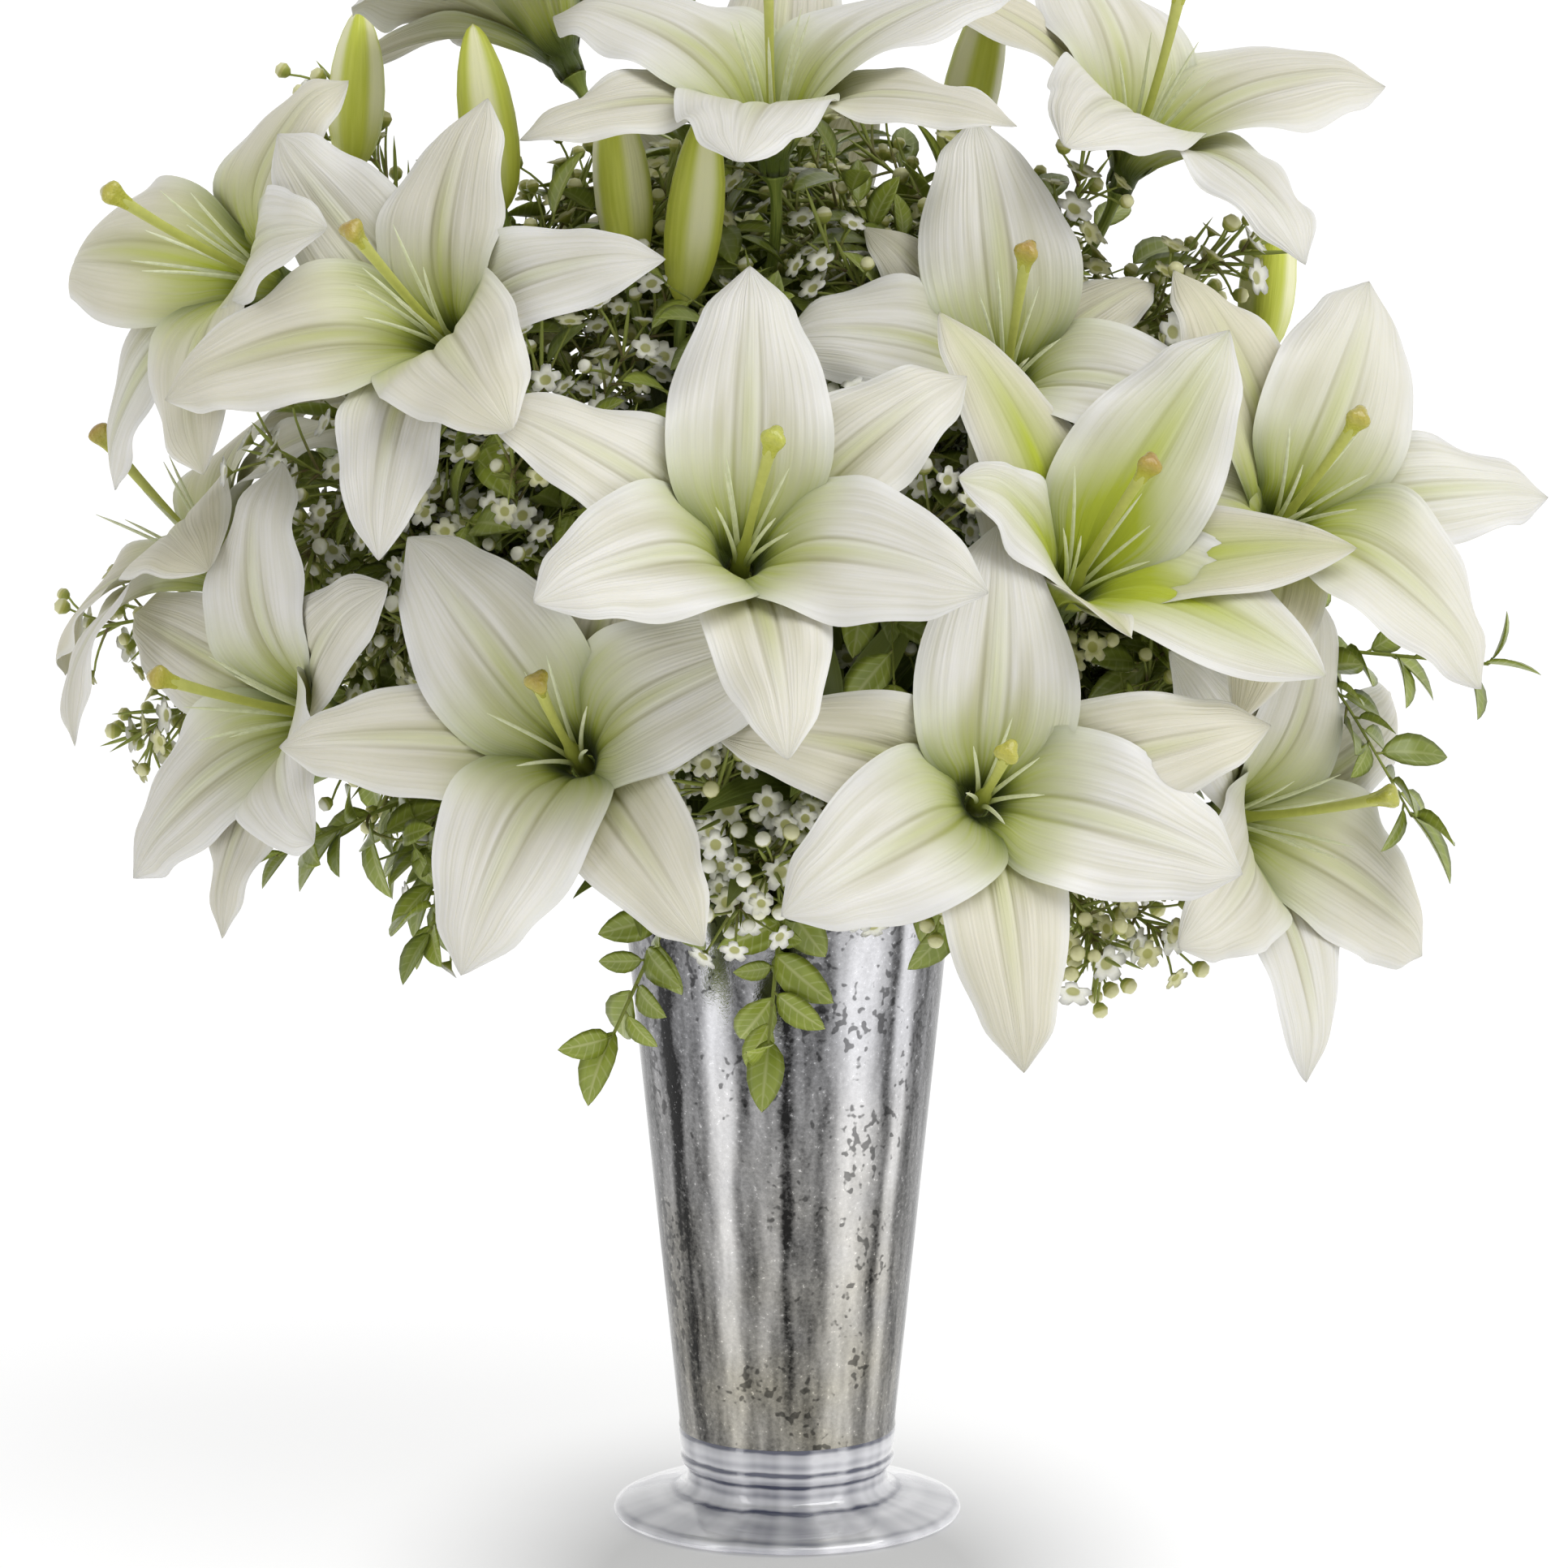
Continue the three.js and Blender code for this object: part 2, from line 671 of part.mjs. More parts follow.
function filament(bloomName, k) {
  const bloom = BLOOMS[bloomName];
  const frame = bloomFrame(bloom);
  const seed = 300 + BLOOM_NAMES.indexOf(bloomName) * 10 + k;
  const radial = radialOf(frame, bloom.roll + (k + 0.5 + 0.2 * draw(seed)) * (360 / FILAMENTS));
  const length = FILAMENT_LENGTH * (1 + 0.1 * draw(seed + 0.3));
  const reach = 15 + 4 * draw(seed + 0.6);
  const point = (height, out) =>
    along(frame.base, frame.axis, height).addScaledVector(radial, out);
  return tube([point(9, 1.4), point(length, reach)], [FILAMENT_RADIUS, 0], 3);
}

function bud(stem, [at, points, length]) {
  const direction = vec(...points).normalize();
  const base = vec(...at);
  const foot = along(base, direction, -BUD_NECK);
  const pedicel = pedicelCurve(stem, foot, direction).getPoints(PEDICEL_STEPS);
  return tube(
    [...pedicel, ...BUD_PROFILE.map(([share]) => along(base, direction, length * share))],
    [...pedicel.map(() => PEDICEL_RADIUS), ...BUD_PROFILE.map(([, radius]) => radius)],
    STEM_SIDES,
  );
}

// A stem with all that grows on it but its leaves.
function bareStem(stem) {
  const parts = [mainStem(stem), ...stem.buds.map((one) => bud(stem, one))];
  for (const bloomName of stem.blooms) {
    parts.push(pistil(stem, bloomName));
    for (let k = 0; k < FILAMENTS; k++) parts.push(filament(bloomName, k));
  }
  return wasm.Manifold.union(parts).simplify(SLIVER);
}

// ---- leaves ----

const LILY_LEAF_LENGTH = 92;
const LILY_LEAF_WIDTH = 15;
const LILY_LEAF_ROWS = [
  [0, 3],
  [0.5, 3],
  [1, 1],
];
const LILY_LEAVES = [0.4, 0.8]; // shares of the stem above the mouth
const LILY_LEAF_LEAN = 30; // from the stem, where the leaf starts
const LILY_LEAF_ARCH = 60; // more than that at its tip
const LEAF_THICKNESS = 1;
const BOUQUET_MIDDLE = 270; // height
const GOLDEN_TURN = 137.5; // from one leaf or floret to the next
const TURNS = [0, 35, -35, 70, -70, 110, -110, 150, 180]; // tried round the stem for a clear place

// The way out of the bouquet at a point, and a little up.
function outwards(point) {
  return vec(point.x, point.y, (point.z - BOUQUET_MIDDLE) * 0.6).normalize().addScaledVector(UP, 0.4);
}

// A direction that leans from a stem's tangent by an angle, at a turn round the stem.
function leaning(tangent, turn, degrees) {
  const [up, side] = across(tangent);
  const radial = up.multiplyScalar(Math.cos(turn * DEGREE));
  radial.addScaledVector(side, Math.sin(turn * DEGREE));
  const direction = tangent.clone().multiplyScalar(Math.cos(degrees * DEGREE));
  return { radial, direction: direction.addScaledVector(radial, Math.sin(degrees * DEGREE)) };
}

// A long leaf with a folded middle, which arches out from its stem.
function lilyLeaf(root, tangent, turn, seed, thickness) {
  const { radial } = leaning(tangent, turn, 0);
  const sideways = tangent.clone().cross(radial);
  const length = LILY_LEAF_LENGTH * (1 + 0.15 * draw(seed));
  const arch = LILY_LEAF_ARCH + 20 * draw(seed + 0.5);
  const pointAt = (share, v, lift) => {
    let point = root.clone();
    const steps = 6;
    for (let i = 0; i < steps; i++) {
      const angle = (LILY_LEAF_LEAN + (arch * share * (i + 0.5)) / steps) * DEGREE;
      const step = (share * length) / steps;
      point.addScaledVector(tangent, Math.cos(angle) * step);
      point.addScaledVector(radial, Math.sin(angle) * step);
    }
    const angle = (LILY_LEAF_LEAN + arch * share) * DEGREE;
    const normal = tangent.clone().multiplyScalar(Math.sin(angle));
    normal.addScaledVector(radial, -Math.cos(angle));
    const half = (LILY_LEAF_WIDTH / 2) * Math.sin(Math.PI * (0.12 + 0.88 * share)) + 0.4 * (1 - share);
    point = point.addScaledVector(sideways, v * half);
    return point.addScaledVector(normal, 0.3 * half * Math.abs(v) + lift);
  };
  return blade(bladeRows(LILY_LEAF_ROWS, thickness, pointAt));
}

// A stem's leaves, each at the first turn round the stem where it stands clear.
function lilyLeaves(stem, stemNumber) {
  const path = stemCurve(stem.mouth, vec(...stem.apex)).getPoints(STEM_STEPS);
  return LILY_LEAVES.flatMap((share, i) => {
    const { point: root, tangent } = onPath(path, share);
    const seed = 900 + 10 * stemNumber + i;
    const leaf = (turn, thickness) =>
      lilyLeaf(root, tangent, GOLDEN_TURN * (i + stemNumber) + turn, seed, thickness);
    const turn = TURNS.find((t) => isClear(leaf(t, LEAF_THICKNESS + PROBE_MARGIN)));
    return turn === undefined ? [] : [leaf(turn, LEAF_THICKNESS)];
  });
}

// A small oval leaf, thickest in the middle: shares of its length and half width round its edge.
const OVAL = [
  [0, 0],
  [0.3, 0.9],
  [0.68, 0.86],
  [1, 0],
  [0.68, -0.86],
  [0.3, -0.9],
];

function ovalLeaf(root, direction, facing, length, width, thickness) {
  const sideways = direction.clone().cross(facing).normalize();
  const normal = sideways.clone().cross(direction);
  const edge = OVAL.map(([share, half]) =>
    along(root, direction, share * length)
      .addScaledVector(sideways, (half * width) / 2)
      .addScaledVector(normal, 0.18 * Math.abs(half) * width - 0.25 * share * share * length),
  );
  const middle = along(root, direction, 0.5 * length).addScaledVector(normal, -0.06 * length);
  const points = [...edge, along(middle, normal, thickness), along(middle, normal, -thickness)];
  const triangles = edge.flatMap((_, i) => {
    const next = (i + 1) % edge.length;
    return [edge.length, i, next, edge.length + 1, next, i];
  });
  return solidOf(geometryOf(points, triangles));
}

// ---- sprays of waxflower and of huckleberry ----

// mouth: place in the vase's mouth. tips: where the stem and its side stems end. bow: the point
// that the stem bows towards, where it hangs over the rim.
const SPRAYS = {
  waxflower_01: { mouth: [-42, -14], tips: [[-176, -24, 450], [-146, 4, 478]] },
  waxflower_02: { mouth: [-36, -26], tips: [[-161, -62, 363], [-110, -76, 350]] },
  waxflower_03: { mouth: [-10, -44], tips: [[-18, -94, 252], [-4, -102, 236]] },
  waxflower_04: { mouth: [17, -28], tips: [[50, -62, 363], [40, -74, 345]] },
  waxflower_05: { mouth: [32, 4], tips: [[93, -50, 448], [146, -42, 427], [124, -60, 410]] },
  waxflower_06: { mouth: [36, -30], tips: [[117, -118, 218], [98, -128, 212]] },
  waxflower_07: { mouth: [-46, 4], tips: [[-230, 26, 298], [-216, 30, 262]] },
  waxflower_08: { mouth: [-14, 42], tips: [[-52, 150, 336], [-20, 130, 300]] },
  waxflower_09: { mouth: [40, 20], tips: [[172, 50, 330], [150, 80, 380]] },
  huckleberry_01: { mouth: [-28, -38], tips: [[-56, -80, 178]], bow: [-42, -66, 262] },
  huckleberry_02: { mouth: [4, -47], tips: [[-6, -84, 176]], bow: [0, -68, 262] },
  huckleberry_03: { mouth: [22, -41], tips: [[58, -76, 208]], bow: [36, -64, 250] },
  huckleberry_04: { mouth: [-45, -6], tips: [[-162, -88, 238], [-112, -98, 216]] },
  huckleberry_05: { mouth: [46, -4], tips: [[225, -62, 296], [200, -70, 248]] },
  huckleberry_06: { mouth: [-4, 24], tips: [[-32, 0, 504]] },
  huckleberry_07: { mouth: [-32, -4], tips: [[-108, -44, 340]] },
  huckleberry_08: { mouth: [10, -2], tips: [[37, -42, 403]] },
  huckleberry_09: { mouth: [38, 10], tips: [[150, 72, 250]] },
  huckleberry_10: { mouth: [6, 44], tips: [[40, 150, 300], [-20, 146, 250]] },
  huckleberry_11: { mouth: [-32, 32], tips: [[-150, 96, 240]] },
};
const SPRAY_NAMES = Object.keys(SPRAYS);
const SPRAY_RADIUS = 1.2;
const SPRAY_SIDES = 4;
const SPRAY_STEPS = 4; // straight stretches of a main stem above the mouth; a side stem has one less
const SIDE_STEM_SHARES = [0.5, 0.36]; // where the side stems leave the main one
const FLORET_RADIUS = 6.5;
const FLORET_PETALS = 5;
const FLORET_CUP = 2.6; // depth of the cup under the petals
const CLUSTER = [1, 0.94, 0.85]; // shares of a stem where florets stand off it
const HUCKLEBERRY_LEAF = { length: 22, width: 13 };
const MAIN_LEAVES = [1, 0.9, 0.8, 0.7, 0.6, 0.48]; // shares of a stem where leaves stand off it
const SIDE_LEAVES = [1, 0.75];

// The ways in which a spray's stem may bow aside, the least of them first.
const BOWS = [0, 18, -18, 36, -36, 60, -60].flatMap((x) =>
  [0, 18, -18, 36, -36, 60, -60].flatMap((y) => [0, 25, -25].map((z) => vec(x, y, z))),
);
BOWS.sort((a, b) => a.length() - b.length());

function sprayCurve(start, tip, bow) {
  return new THREE.CubicBezierCurve3(
    start,
    along(start, bow.clone().sub(start), 0.7),
    along(tip, bow.clone().sub(tip), 0.6),
    tip,
  );
}

// A stem's path to a tip that stands clear of what is there already.
function roomForPath(start, lean, tip, steps, bow) {
  const middle = bow ?? along(start, lean, start.distanceTo(tip) * 0.55);
  for (const aside of BOWS) {
    const points = sprayCurve(start, tip, middle.clone().add(aside)).getPoints(steps);
    const thick = points.map(() => SPRAY_RADIUS + PROBE_MARGIN / 2);
    if (isClear(tube(points, thick, SPRAY_SIDES))) return points;
  }
  throw new Error(`no room for a stem to ${tip.toArray()}`);
}

function sprayStem(points, radius) {
  const radii = points.map((_, i) => mix(radius, 0.5 * radius, i / (points.length - 1)));
  return tube(points, radii, SPRAY_SIDES);
}

// A five-petalled floret on its cup, which narrows to a stalk from the root.
function floret(root, centre, facing, radius) {
  const [up, side] = across(facing);
  const round = (middle, reach, lift, turn) =>
    along(middle, up, reach * Math.cos(turn))
      .addScaledVector(side, reach * Math.sin(turn))
      .addScaledVector(facing, lift);
  const corners = [...Array(2 * FLORET_PETALS).keys()];
  const points = corners.map((i) =>
    round(centre, i % 2 ? radius * 0.5 : radius, i % 2 ? 0 : 1.2, (i * Math.PI) / FLORET_PETALS),
  );
  const stalk = [0, 1, 2].map((i) => round(centre, 0.7, -FLORET_CUP, (i * 2 * Math.PI) / 3));
  points.push(...stalk, along(centre, facing, 0.3), root);
  const [heart, end] = [13, 14];
  const triangles = corners.flatMap((i) => [heart, i, (i + 1) % corners.length]);
  const rim = [0, ...corners.slice(1).reverse(), 0];
  triangles.push(...stitch(rim, [10, 12, 11, 10], false));
  triangles.push(10, end, 11, 11, end, 12, 12, end, 10);
  return solidOf(geometryOf(points, triangles));
}

// Stalks round a side stem's end, each with a floret.
function cluster(path, seed) {
  const made = [];
  CLUSTER.forEach((share, i) => {
    const { point: root, tangent } = onPath(path, share);
    for (const turn of TURNS) {
      const spread = i === 0 ? 10 : 50 + 12 * draw(seed + i);
      const { direction } = leaning(tangent, GOLDEN_TURN * i + turn, spread);
      const end = along(root, direction, i === 0 ? 6 : 15 + 4 * draw(seed + i + 0.5));
      const facing = direction.clone().addScaledVector(outwards(root), 0.5).normalize();
      if (!isClear(floret(root, end, facing, FLORET_RADIUS + PROBE_MARGIN))) continue;
      made.push(floret(root, end, facing, FLORET_RADIUS));
      break;
    }
  });
  return made;
}

// Leaves in turn on both sides along a stem.
function leavesAlong(path, shares, seed) {
  const made = [];
  shares.forEach((share, i) => {
    const { point: root, tangent } = onPath(path, share);
    if (Math.hypot(root.x, root.y) < RIM_RADIUS + 2 && root.z < VASE_HEIGHT + 10) return;
    for (const turn of TURNS) {
      const spread = share === 1 ? 8 : 55 + 10 * draw(seed + i);
      const { direction } = leaning(tangent, GOLDEN_TURN * i + turn, spread);
      const grown = 1 + 0.2 * draw(seed + i + 0.5);
      const { length, width } = HUCKLEBERRY_LEAF;
      const leaf = (extra) =>
        ovalLeaf(root, direction, outwards(root), length * grown, width * grown + extra, 0.6 + extra / 2);
      if (!isClear(leaf(PROBE_MARGIN))) continue;
      made.push(leaf(0));
      break;
    }
  });
  return made;
}

function spray(name) {
  const { mouth, tips, bow } = SPRAYS[name];
  const seed = 500 + SPRAY_NAMES.indexOf(name) * 20;
  const start = stemPoint(mouth, MOUTH_LEVEL);
  const lean = stemLean(mouth);
  const main = roomForPath(start, lean, vec(...tips[0]), SPRAY_STEPS, bow && vec(...bow));
  const foot = stemPoint(mouth, VASE_FLOOR + PIECE_GAP);
  const parts = [sprayStem([foot, ...main], SPRAY_RADIUS)];
  const paths = [main];
  tips.slice(1).forEach((tip, i) => {
    const { point, tangent } = onPath(main, SIDE_STEM_SHARES[i]);
    const side = roomForPath(point, tangent, vec(...tip), SPRAY_STEPS - 1);
    parts.push(sprayStem(side, SPRAY_RADIUS * 0.7));
    paths.push(side);
  });
  paths.forEach((path, i) => {
    const ownSeed = seed + 5 * i;
    if (name.startsWith("waxflower")) parts.push(...cluster(path, ownSeed));
    else parts.push(...leavesAlong(path, i === 0 ? MAIN_LEAVES : SIDE_LEAVES, ownSeed));
  });
  return wasm.Manifold.union(parts).simplify(SLIVER);
}

// ---- building ----

const MATERIALS = {
  glass: new THREE.MeshStandardMaterial({ color: 0xb9b6ae, roughness: 0.18, metalness: 0.9 }),
  water: new THREE.MeshStandardMaterial({ color: 0xdfe9ea, roughness: 0.05, metalness: 0 }),
  tepal: new THREE.MeshStandardMaterial({ color: 0xf1efe6, roughness: 0.5, metalness: 0 }),
  lilyGreen: new THREE.MeshStandardMaterial({ color: 0x7f9a3c, roughness: 0.5, metalness: 0 }),
  waxflower: new THREE.MeshStandardMaterial({ color: 0xd9dcb4, roughness: 0.6, metalness: 0 }),
  huckleberry: new THREE.MeshStandardMaterial({ color: 0x4d6a2c, roughness: 0.5, metalness: 0 }),
};

const group = new THREE.Group();

function addPiece(name, solid, material) {
  stand(solid);
  group.add(meshOf(name, solid, material));
}

addPiece("vase", vase(), MATERIALS.glass);

// The lily stems stand first, the blooms open round them, and the sprays and leaves fill in.
const bareStems = Object.entries(LILY_STEMS).map(([name, stem]) => {
  const solid = bareStem(stem);
  stand(solid);
  return { name, stem, solid };
});
for (const name of BLOOM_NAMES) {
  const shapes = [...Array(TEPALS).keys()].map((k) => roomForTepal(name, k));
  addPiece(name, perianth(name, shapes), MATERIALS.tepal);
}
for (const name of SPRAY_NAMES) {
  const material = name.startsWith("waxflower") ? MATERIALS.waxflower : MATERIALS.huckleberry;
  addPiece(name, spray(name), material);
}
bareStems.forEach(({ name, stem, solid }, i) => {
  standing.splice(standing.findIndex((other) => other.solid === solid), 1);
  const leafed = wasm.Manifold.union([solid, ...lilyLeaves(stem, i)]).simplify(SLIVER);
  addPiece(name, leafed, MATERIALS.lilyGreen);
});

const stemsInWater = [
  ...Object.values(LILY_STEMS).map(({ mouth }) => ({ mouth, radius: STEM_RADIUS, sides: STEM_SIDES })),
  ...Object.values(SPRAYS).map(({ mouth }) => ({ mouth, radius: SPRAY_RADIUS, sides: SPRAY_SIDES })),
];
addPiece("water", water(stemsInWater), MATERIALS.water);

export default group;
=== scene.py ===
"""White lilies in a silvered glass vase, with waxflower and huckleberry between them.

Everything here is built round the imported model. Formulas work in millimetres, as the model's source
does, and meshes are in metres. The front of the bouquet faces -Y.
"""

import json
import math
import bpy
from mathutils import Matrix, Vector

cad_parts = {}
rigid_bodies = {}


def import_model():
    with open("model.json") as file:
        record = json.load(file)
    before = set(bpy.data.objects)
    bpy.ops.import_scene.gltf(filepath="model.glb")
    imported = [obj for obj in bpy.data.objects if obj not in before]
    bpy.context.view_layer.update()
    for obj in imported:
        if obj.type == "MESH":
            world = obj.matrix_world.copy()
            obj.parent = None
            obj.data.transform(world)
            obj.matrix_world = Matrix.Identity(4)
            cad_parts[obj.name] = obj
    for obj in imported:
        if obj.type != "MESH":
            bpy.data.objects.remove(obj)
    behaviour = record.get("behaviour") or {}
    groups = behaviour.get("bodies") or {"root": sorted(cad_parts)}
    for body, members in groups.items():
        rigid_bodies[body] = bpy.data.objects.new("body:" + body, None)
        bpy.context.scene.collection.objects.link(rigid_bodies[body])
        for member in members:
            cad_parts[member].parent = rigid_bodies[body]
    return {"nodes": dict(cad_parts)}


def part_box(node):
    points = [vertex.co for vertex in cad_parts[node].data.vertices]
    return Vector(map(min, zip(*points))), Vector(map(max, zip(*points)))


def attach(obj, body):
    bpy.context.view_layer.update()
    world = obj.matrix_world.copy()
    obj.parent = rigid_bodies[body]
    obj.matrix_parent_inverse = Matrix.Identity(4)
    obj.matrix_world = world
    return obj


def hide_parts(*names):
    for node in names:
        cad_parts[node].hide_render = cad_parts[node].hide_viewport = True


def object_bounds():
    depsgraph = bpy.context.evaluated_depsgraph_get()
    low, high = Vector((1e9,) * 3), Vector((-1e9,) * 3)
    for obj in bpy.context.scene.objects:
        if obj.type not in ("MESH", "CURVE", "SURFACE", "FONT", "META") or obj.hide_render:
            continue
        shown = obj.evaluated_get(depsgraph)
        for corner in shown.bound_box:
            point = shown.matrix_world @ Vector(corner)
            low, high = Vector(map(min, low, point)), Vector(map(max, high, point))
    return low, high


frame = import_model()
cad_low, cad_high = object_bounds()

from types import SimpleNamespace

import bmesh
import bpy
import numpy as np
from mathutils import Matrix, Vector
from mathutils.bvhtree import BVHTree

# ---- Where the bouquet is seen from, and what it stands on ----
# A long lens a little above the vase's mouth, aimed at the middle of the bouquet. A pale floor runs
# out to the horizon, and light comes from all round, with a large soft source high on the right.

PHOTO_PIXELS = 1932
FOCAL_PIXELS = 7038
AXIS_PIXEL = 970  # where the vase's middle line stands across the photograph
CAMERA_DISTANCE = 1.9
CAMERA_RISE = math.radians(8)
CAMERA_AIM = Vector((0, 0, 0.2484))

camera = bpy.data.objects.new("camera", bpy.data.cameras.new("camera"))
bpy.context.scene.collection.objects.link(camera)
camera.location = CAMERA_AIM + CAMERA_DISTANCE * Vector(
    (0, -math.cos(CAMERA_RISE), math.sin(CAMERA_RISE))
)
camera.rotation_euler = (math.pi / 2 - CAMERA_RISE, 0, 0)
camera.data.sensor_width = 36
camera.data.lens = camera.data.sensor_width * FOCAL_PIXELS / PHOTO_PIXELS
camera.data.shift_x = (PHOTO_PIXELS / 2 - AXIS_PIXEL) / PHOTO_PIXELS
bpy.context.scene.camera = camera
bpy.context.scene.view_settings.view_transform = "Standard"


def add(tree, kind, inputs=(), **settings):
    """Adds a node with its settings. An input is a value, a socket, or a node, whose first output it
    takes."""
    node = tree.nodes.new(kind)
    for key, value in settings.items():
        setattr(node, key, value)
    for key, value in inputs.items() if isinstance(inputs, dict) else enumerate(inputs):
        if isinstance(value, bpy.types.Node):
            value = value.outputs[0]
        if isinstance(value, bpy.types.NodeSocket):
            tree.links.new(value, node.inputs[key])
        else:
            node.inputs[key].default_value = value
    return node


def linear(colour):
    """The linear colour of an sRGB hex value."""
    parts = [int(colour[i : i + 2], 16) / 255 for i in (1, 3, 5)]
    return [p / 12.92 if p <= 0.04045 else ((p + 0.055) / 1.055) ** 2.4 for p in parts] + [1]


def finish(name, **sockets):
    """A new material whose shader has these sockets set, its tree, and its shader."""
    material = bpy.data.materials.new(name)
    material.use_nodes = True
    shader = material.node_tree.nodes["Principled BSDF"]
    for socket, value in sockets.items():
        shader.inputs[socket.replace("_", " ")].default_value = value
    return material, material.node_tree, shader


floor_mesh = bpy.data.meshes.new("floor")
FLOOR_GAP = 0.0003  # under the vase, so that its clear foot and the floor don't share a face
floor_mesh.from_pydata(
    [(x, y, -FLOOR_GAP) for x, y in ((-300, -300), (300, -300), (300, 300), (-300, 300))], [], [(0, 1, 2, 3)]
)
floor = bpy.data.objects.new("floor", floor_mesh)
bpy.context.scene.collection.objects.link(floor)
# Thin white paper on a table lit from below, so that shadows on it stay pale. A shadow is painted round the
# foot and in front of it, seen by the camera only, from half as bright at 60 mm from its middle to full at
# 155 mm.
floor_paint, tree, shader = finish("pale_floor", Roughness=0.9)
shader.inputs["Emission Color"].default_value = linear("#ffffff")
place = add(tree, "ShaderNodeTexCoord").outputs["Object"]
fibres = add(tree, "ShaderNodeTexNoise", {"Vector": place, "Scale": 900.0, "Detail": 2.0})
tone = add(tree, "ShaderNodeMixRGB", [fibres, linear("#8e8e8e"), linear("#929292")])
tree.links.new(tone.outputs[0], shader.inputs["Base Color"])
around = add(tree, "ShaderNodeVectorMath", [place, (0, 0.088, 0)], operation="ADD")
around = add(tree, "ShaderNodeVectorMath", [around, (1, 0.62, 0)], operation="MULTIPLY")
around = add(tree, "ShaderNodeVectorMath", [around], operation="LENGTH").outputs["Value"]
# Painted shadow round the foot: the glow that the camera sees is cut there.
painted_foot_shadow = add(tree, "ShaderNodeMapRange", [around, 0.06, 0.155, 1.0, 0.0])
painted_foot_shadow = add(tree, "ShaderNodeMath", [painted_foot_shadow, 1.7], operation="POWER")
direct = add(tree, "ShaderNodeLightPath").outputs["Is Camera Ray"]
painted_foot_shadow = add(tree, "ShaderNodeMath", [painted_foot_shadow, direct], operation="MULTIPLY")
glow = add(tree, "ShaderNodeMath", [painted_foot_shadow, -0.45, 0.79], operation="MULTIPLY_ADD")
tree.links.new(glow.outputs[0], shader.inputs["Emission Strength"])
floor_mesh.materials.append(floor_paint)

studio = bpy.data.worlds.new("studio")
studio.use_nodes = True
bpy.context.scene.world = studio
tree = studio.node_tree
tree.nodes["Background"].inputs["Color"].default_value = linear("#fdfdfe")
rays = add(tree, "ShaderNodeLightPath").outputs
seen = add(tree, "ShaderNodeMath", [rays["Is Camera Ray"], rays["Is Glossy Ray"]], operation="MAXIMUM")
brightness = add(tree, "ShaderNodeMapRange", [seen, 0, 1, 0.38, 1.0])
tree.links.new(brightness.outputs[0], tree.nodes["Background"].inputs["Strength"])


def lamp(name, kind, place, aim, energy, **settings):
    """A light at a place, turned towards what it lights."""
    light = bpy.data.lights.new(name, kind)
    light.energy = energy
    for key, value in settings.items():
        setattr(light, key, value)
    holder = bpy.data.objects.new(name, light)
    holder.location = place
    holder.rotation_euler = (Vector(aim) - Vector(place)).to_track_quat("-Z", "Y").to_euler()
    holder.visible_camera = False
    bpy.context.scene.collection.objects.link(holder)


lamp("soft_sun", "SUN", (1.2, -1.1, 2.5), (0, 0, 0.2), 1.8, angle=math.radians(50))
for name, x, y, width in (("left_strip", -1.1, -0.9, 0.25), ("right_strip", 1.2, -0.7, 0.3)):
    lamp(name, "AREA", (x, y, 0.5), (0, 0, 0.2), 2, shape="RECTANGLE", size=width, size_y=1.4)

# ---- The vase ----
# Tapered glass, silvered on the inside so that it looks like old mercury glass, on a clear pressed
# foot with a collar and a short neck. The silvered body's rounded end shows through the collar.

VASE_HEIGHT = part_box("vase")[1].z * 1000
RIM_RADIUS = 55.2
BODY_FOOT_RADIUS = 36.2
BODY_FOOT_HEIGHT = 28.5
FOOT_RADIUS = 58.6
VASE_WALL = 2.8
VASE_FLOOR = 31


def mix(a, b, t):
    return a + (b - a) * t


def inside_radius(height):
    share = (height - BODY_FOOT_HEIGHT) / (VASE_HEIGHT - BODY_FOOT_HEIGHT)
    return mix(BODY_FOOT_RADIUS, RIM_RADIUS, share) - VASE_WALL


def piece(name, mesh, replaced):
    """A finished piece of the bouquet, which stands for one or more of the model's nodes."""
    made = bpy.data.objects.new(name, mesh)
    bpy.context.scene.collection.objects.link(made)
    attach(made, "root")
    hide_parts(*replaced)
    return made


def turned(name, profile, material, segments=144):
    """A smooth closed solid of revolution, from (radius, height) points that start and end on the axis."""
    points, rings = [], []
    for radius, height in profile:
        turns = [2 * math.pi * j / segments for j in range(segments if radius else 1)]
        rings.append([len(points) + j for j in range(len(turns))])
        points += [(radius * math.cos(a) / 1000, radius * math.sin(a) / 1000, height / 1000) for a in turns]
    faces = []
    for low, high in zip(rings, rings[1:]):
        for j in range(segments):
            a, b = low[j % len(low)], low[(j + 1) % len(low)]
            c, d = high[(j + 1) % len(high)], high[j % len(high)]
            faces.append(list(dict.fromkeys([a, b, c, d])))
    mesh = bpy.data.meshes.new(name)
    mesh.from_pydata(points, [], faces)
    mesh.shade_smooth()
    mesh.set_sharp_from_angle(angle=math.radians(50))
    mesh.materials.append(material)
    return mesh


# Silvered glass is metal under a clear coat of glass. Its reflections are painted on it as uneven upright
# bands, dark at its sides and down its middle and bright beside the middle, and it is crackled and pitted all
# over.
silvered, tree, shader = finish(
    "silvered_glass", Metallic=1.0, Roughness=0.2, Coat_Weight=0.12, Coat_Roughness=0.03
)
